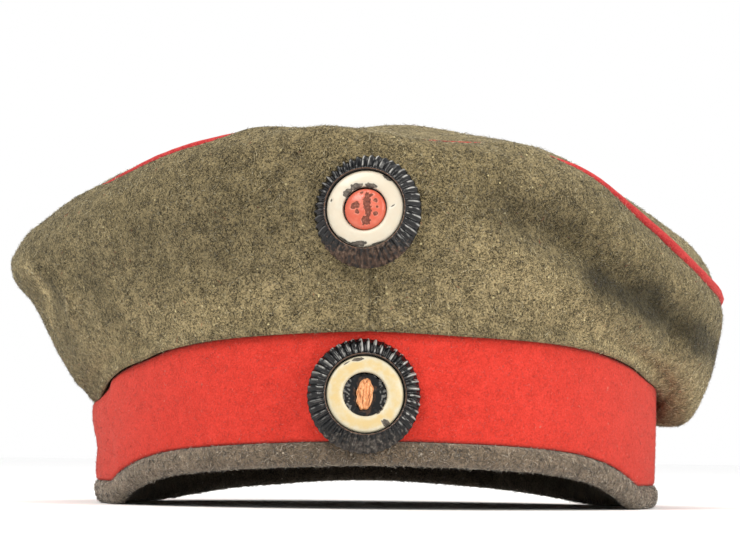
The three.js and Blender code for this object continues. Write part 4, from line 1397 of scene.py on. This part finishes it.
class FIELDCAP_OT_upper_cockade(bpy.types.Operator):
    """Makes the upper cockade: black shell, white ring and red boss"""

    bl_idname = "fieldcap.upper_cockade"
    bl_label = "Upper Cockade"

    def execute(self, context):
        seat = cockade_frame("upper")
        rusty = ("1d1613", "4a372b", "75665a")
        height = seat.translation.z - 4 * MM
        steel = lacquered_steel("black lacquered pressed steel, upper", height, rusty)
        stained = ("3c1812", "64301f", "84584a")
        white = chipped_enamel("white enamel paint", "b3ae9f", "b3a997", BARE_STEEL, 0.3)
        red = chipped_enamel("orange-red enamel paint", "b4614b", "ad4c36", stained, 0.3)
        ring = ring_shape("upper", UPPER_RING_MARKS)
        dress_cockade(
            ("upper_cockade_fluted_shell", shell_shape("upper"), steel, "black_lacquer"),
            ("upper_cockade_enamel_ring", ring, white, "white_paint"),
            ("upper_cockade_enamel_boss", boss_shape(), red, "red_paint"),
        )
        return {"FINISHED"}


class FIELDCAP_OT_lower_cockade(bpy.types.Operator):
    """Makes the lower cockade: black shell, cream ring and brown plug"""

    bl_idname = "fieldcap.lower_cockade"
    bl_label = "Lower Cockade"

    def execute(self, context):
        seat = cockade_frame("lower")
        gritty = ("1b1918", "403a35", "77726a")
        height = seat.translation.z - 5 * MM
        steel = lacquered_steel("black lacquered pressed steel, lower", height, gritty)
        cream = chipped_enamel("cream enamel paint", "b4ad96", "b49f70", BARE_STEEL, 0.35)
        fibre = split_fibreboard("split vulcanised fibre")
        ring = ring_shape("lower", LOWER_RING_MARKS)
        dress_cockade(
            ("lower_cockade_fluted_shell", shell_shape("lower"), steel, "black_lacquer"),
            ("lower_cockade_enamel_ring", ring, cream, "cream_paint"),
            ("lower_cockade_fibre_plug", plug_shape(), fibre, "brown_fibre"),
        )
        return {"FINISHED"}


def crown_cloth():
    """The crown's two materials, made once and shared by its walls and top."""
    name, fibre_name = "field-grey milled woollen cloth", "field-grey wool fibres"
    if name not in bpy.data.materials:
        felted_wool(
            name,
            *tones(bpy.context.scene.field_cap.felt_colour, (0.1, 0.85, 2.7)),
            "cfcdc2",
            0.2,
            "d8d0b0",
            0.12,
            (0.14, "b0a47c", "2c2617"),
        )
        loose_fibre(
            fibre_name,
            (
                (0.0, "312c22"), (0.16, "534a33"), (0.42, "786c4d"), (0.7, "9a8f6e"), (0.9, "bab08f"),
                (0.996, "96432a"),
            ),
            0.15,
        )
    return bpy.data.materials[name], bpy.data.materials[fibre_name]


class FIELDCAP_OT_studio(bpy.types.Operator):
    """Sets the floor, the lamps and the camera"""

    bl_idname = "fieldcap.studio"
    bl_label = "Studio"

    def execute(self, context):
        scene = context.scene
        settings = scene.cap_studio
        shape = bmesh.new()
        bmesh.ops.create_grid(shape, x_segments=1, y_segments=1, size=6.0)
        mesh = bpy.data.meshes.new("studio_floor")
        shape.to_mesh(mesh)
        shape.free()
        floor = bpy.data.objects.new("studio_floor", mesh)
        mesh.materials.append(plain_paper("matt white studio paper", "fafafa"))
        scene.collection.objects.link(floor)
        middle = Vector(ORIGIN) + Vector((0, 0, settings.aim_height))
        for name, place, size, power in LAMPS:
            data = bpy.data.lights.new(name, "AREA")
            data.shape = "DISK"
            data.size = size
            data.energy = power
            data.color = from_hex("fffaf2")
            lamp = bpy.data.objects.new(name, data)
            lamp.location = place
            lamp.rotation_euler = (middle - Vector(place)).to_track_quat("-Z", "Y").to_euler()
            scene.collection.objects.link(lamp)
        world = bpy.data.worlds.new("soft_white_room")
        world.use_nodes = True
        sky = world.node_tree.nodes["Background"]
        sky.inputs["Color"].default_value = (1, 1, 1, 1)
        sky.inputs["Strength"].default_value = 1.0
        scene.world = world
        camera_data = bpy.data.cameras.new("studio_camera")
        camera_data.sensor_width = 36.0
        camera_data.lens = settings.lens
        camera = bpy.data.objects.new("studio_camera", camera_data)
        scene.collection.objects.link(camera)
        spot = Vector(ORIGIN) + Vector((0, -settings.distance, settings.height))
        ahead = (middle - spot).normalized()
        turned = Matrix.Rotation(-settings.roll, 3, ahead) @ ahead.to_track_quat("-Z", "Y").to_matrix()
        camera.matrix_world = Matrix.Translation(spot) @ turned.to_4x4()
        scene.camera = camera
        scene.view_settings.view_transform = "Standard"
        return {"FINISHED"}


class FIELDCAP_PT_panel(bpy.types.Panel):
    """Lists the cap's sizes, colours and pieces"""

    bl_idname = "FIELDCAP_PT_panel"
    bl_label = "Field Cap"
    bl_space_type = "VIEW_3D"
    bl_region_type = "UI"
    bl_category = "Field Cap"

    def draw(self, context):
        for group in (context.scene.field_cap, context.scene.cap_studio):
            column = self.layout.column(align=True)
            for name in group.bl_rna.properties.keys():
                if name not in ("rna_type", "name"):
                    column.prop(group, name)
        column = self.layout.column(align=True)
        for operator in OPERATORS:
            column.operator(operator.bl_idname)


OPERATORS = (
    FIELDCAP_OT_crown_walls,
    FIELDCAP_OT_crown_top,
    FIELDCAP_OT_crown_cord,
    FIELDCAP_OT_red_band,
    FIELDCAP_OT_base_band,
    FIELDCAP_OT_upper_cockade,
    FIELDCAP_OT_lower_cockade,
    FIELDCAP_OT_studio,
)
CLASSES = (FieldCapSettings, StudioSettings, *OPERATORS, FIELDCAP_PT_panel)


def register():
    for cls in CLASSES:
        bpy.utils.register_class(cls)
    bpy.types.Scene.field_cap = bpy.props.PointerProperty(type=FieldCapSettings)
    bpy.types.Scene.cap_studio = bpy.props.PointerProperty(type=StudioSettings)


def unregister():
    del bpy.types.Scene.cap_studio
    del bpy.types.Scene.field_cap
    for cls in reversed(CLASSES):
        bpy.utils.unregister_class(cls)


def main():
    register()
    bpy.ops.fieldcap.crown_walls()
    bpy.ops.fieldcap.crown_top()
    bpy.ops.fieldcap.crown_cord()
    bpy.ops.fieldcap.red_band()
    bpy.ops.fieldcap.base_band()
    bpy.ops.fieldcap.upper_cockade()
    bpy.ops.fieldcap.lower_cockade()
    bpy.ops.fieldcap.studio()


if __name__ == "__main__":
    main()
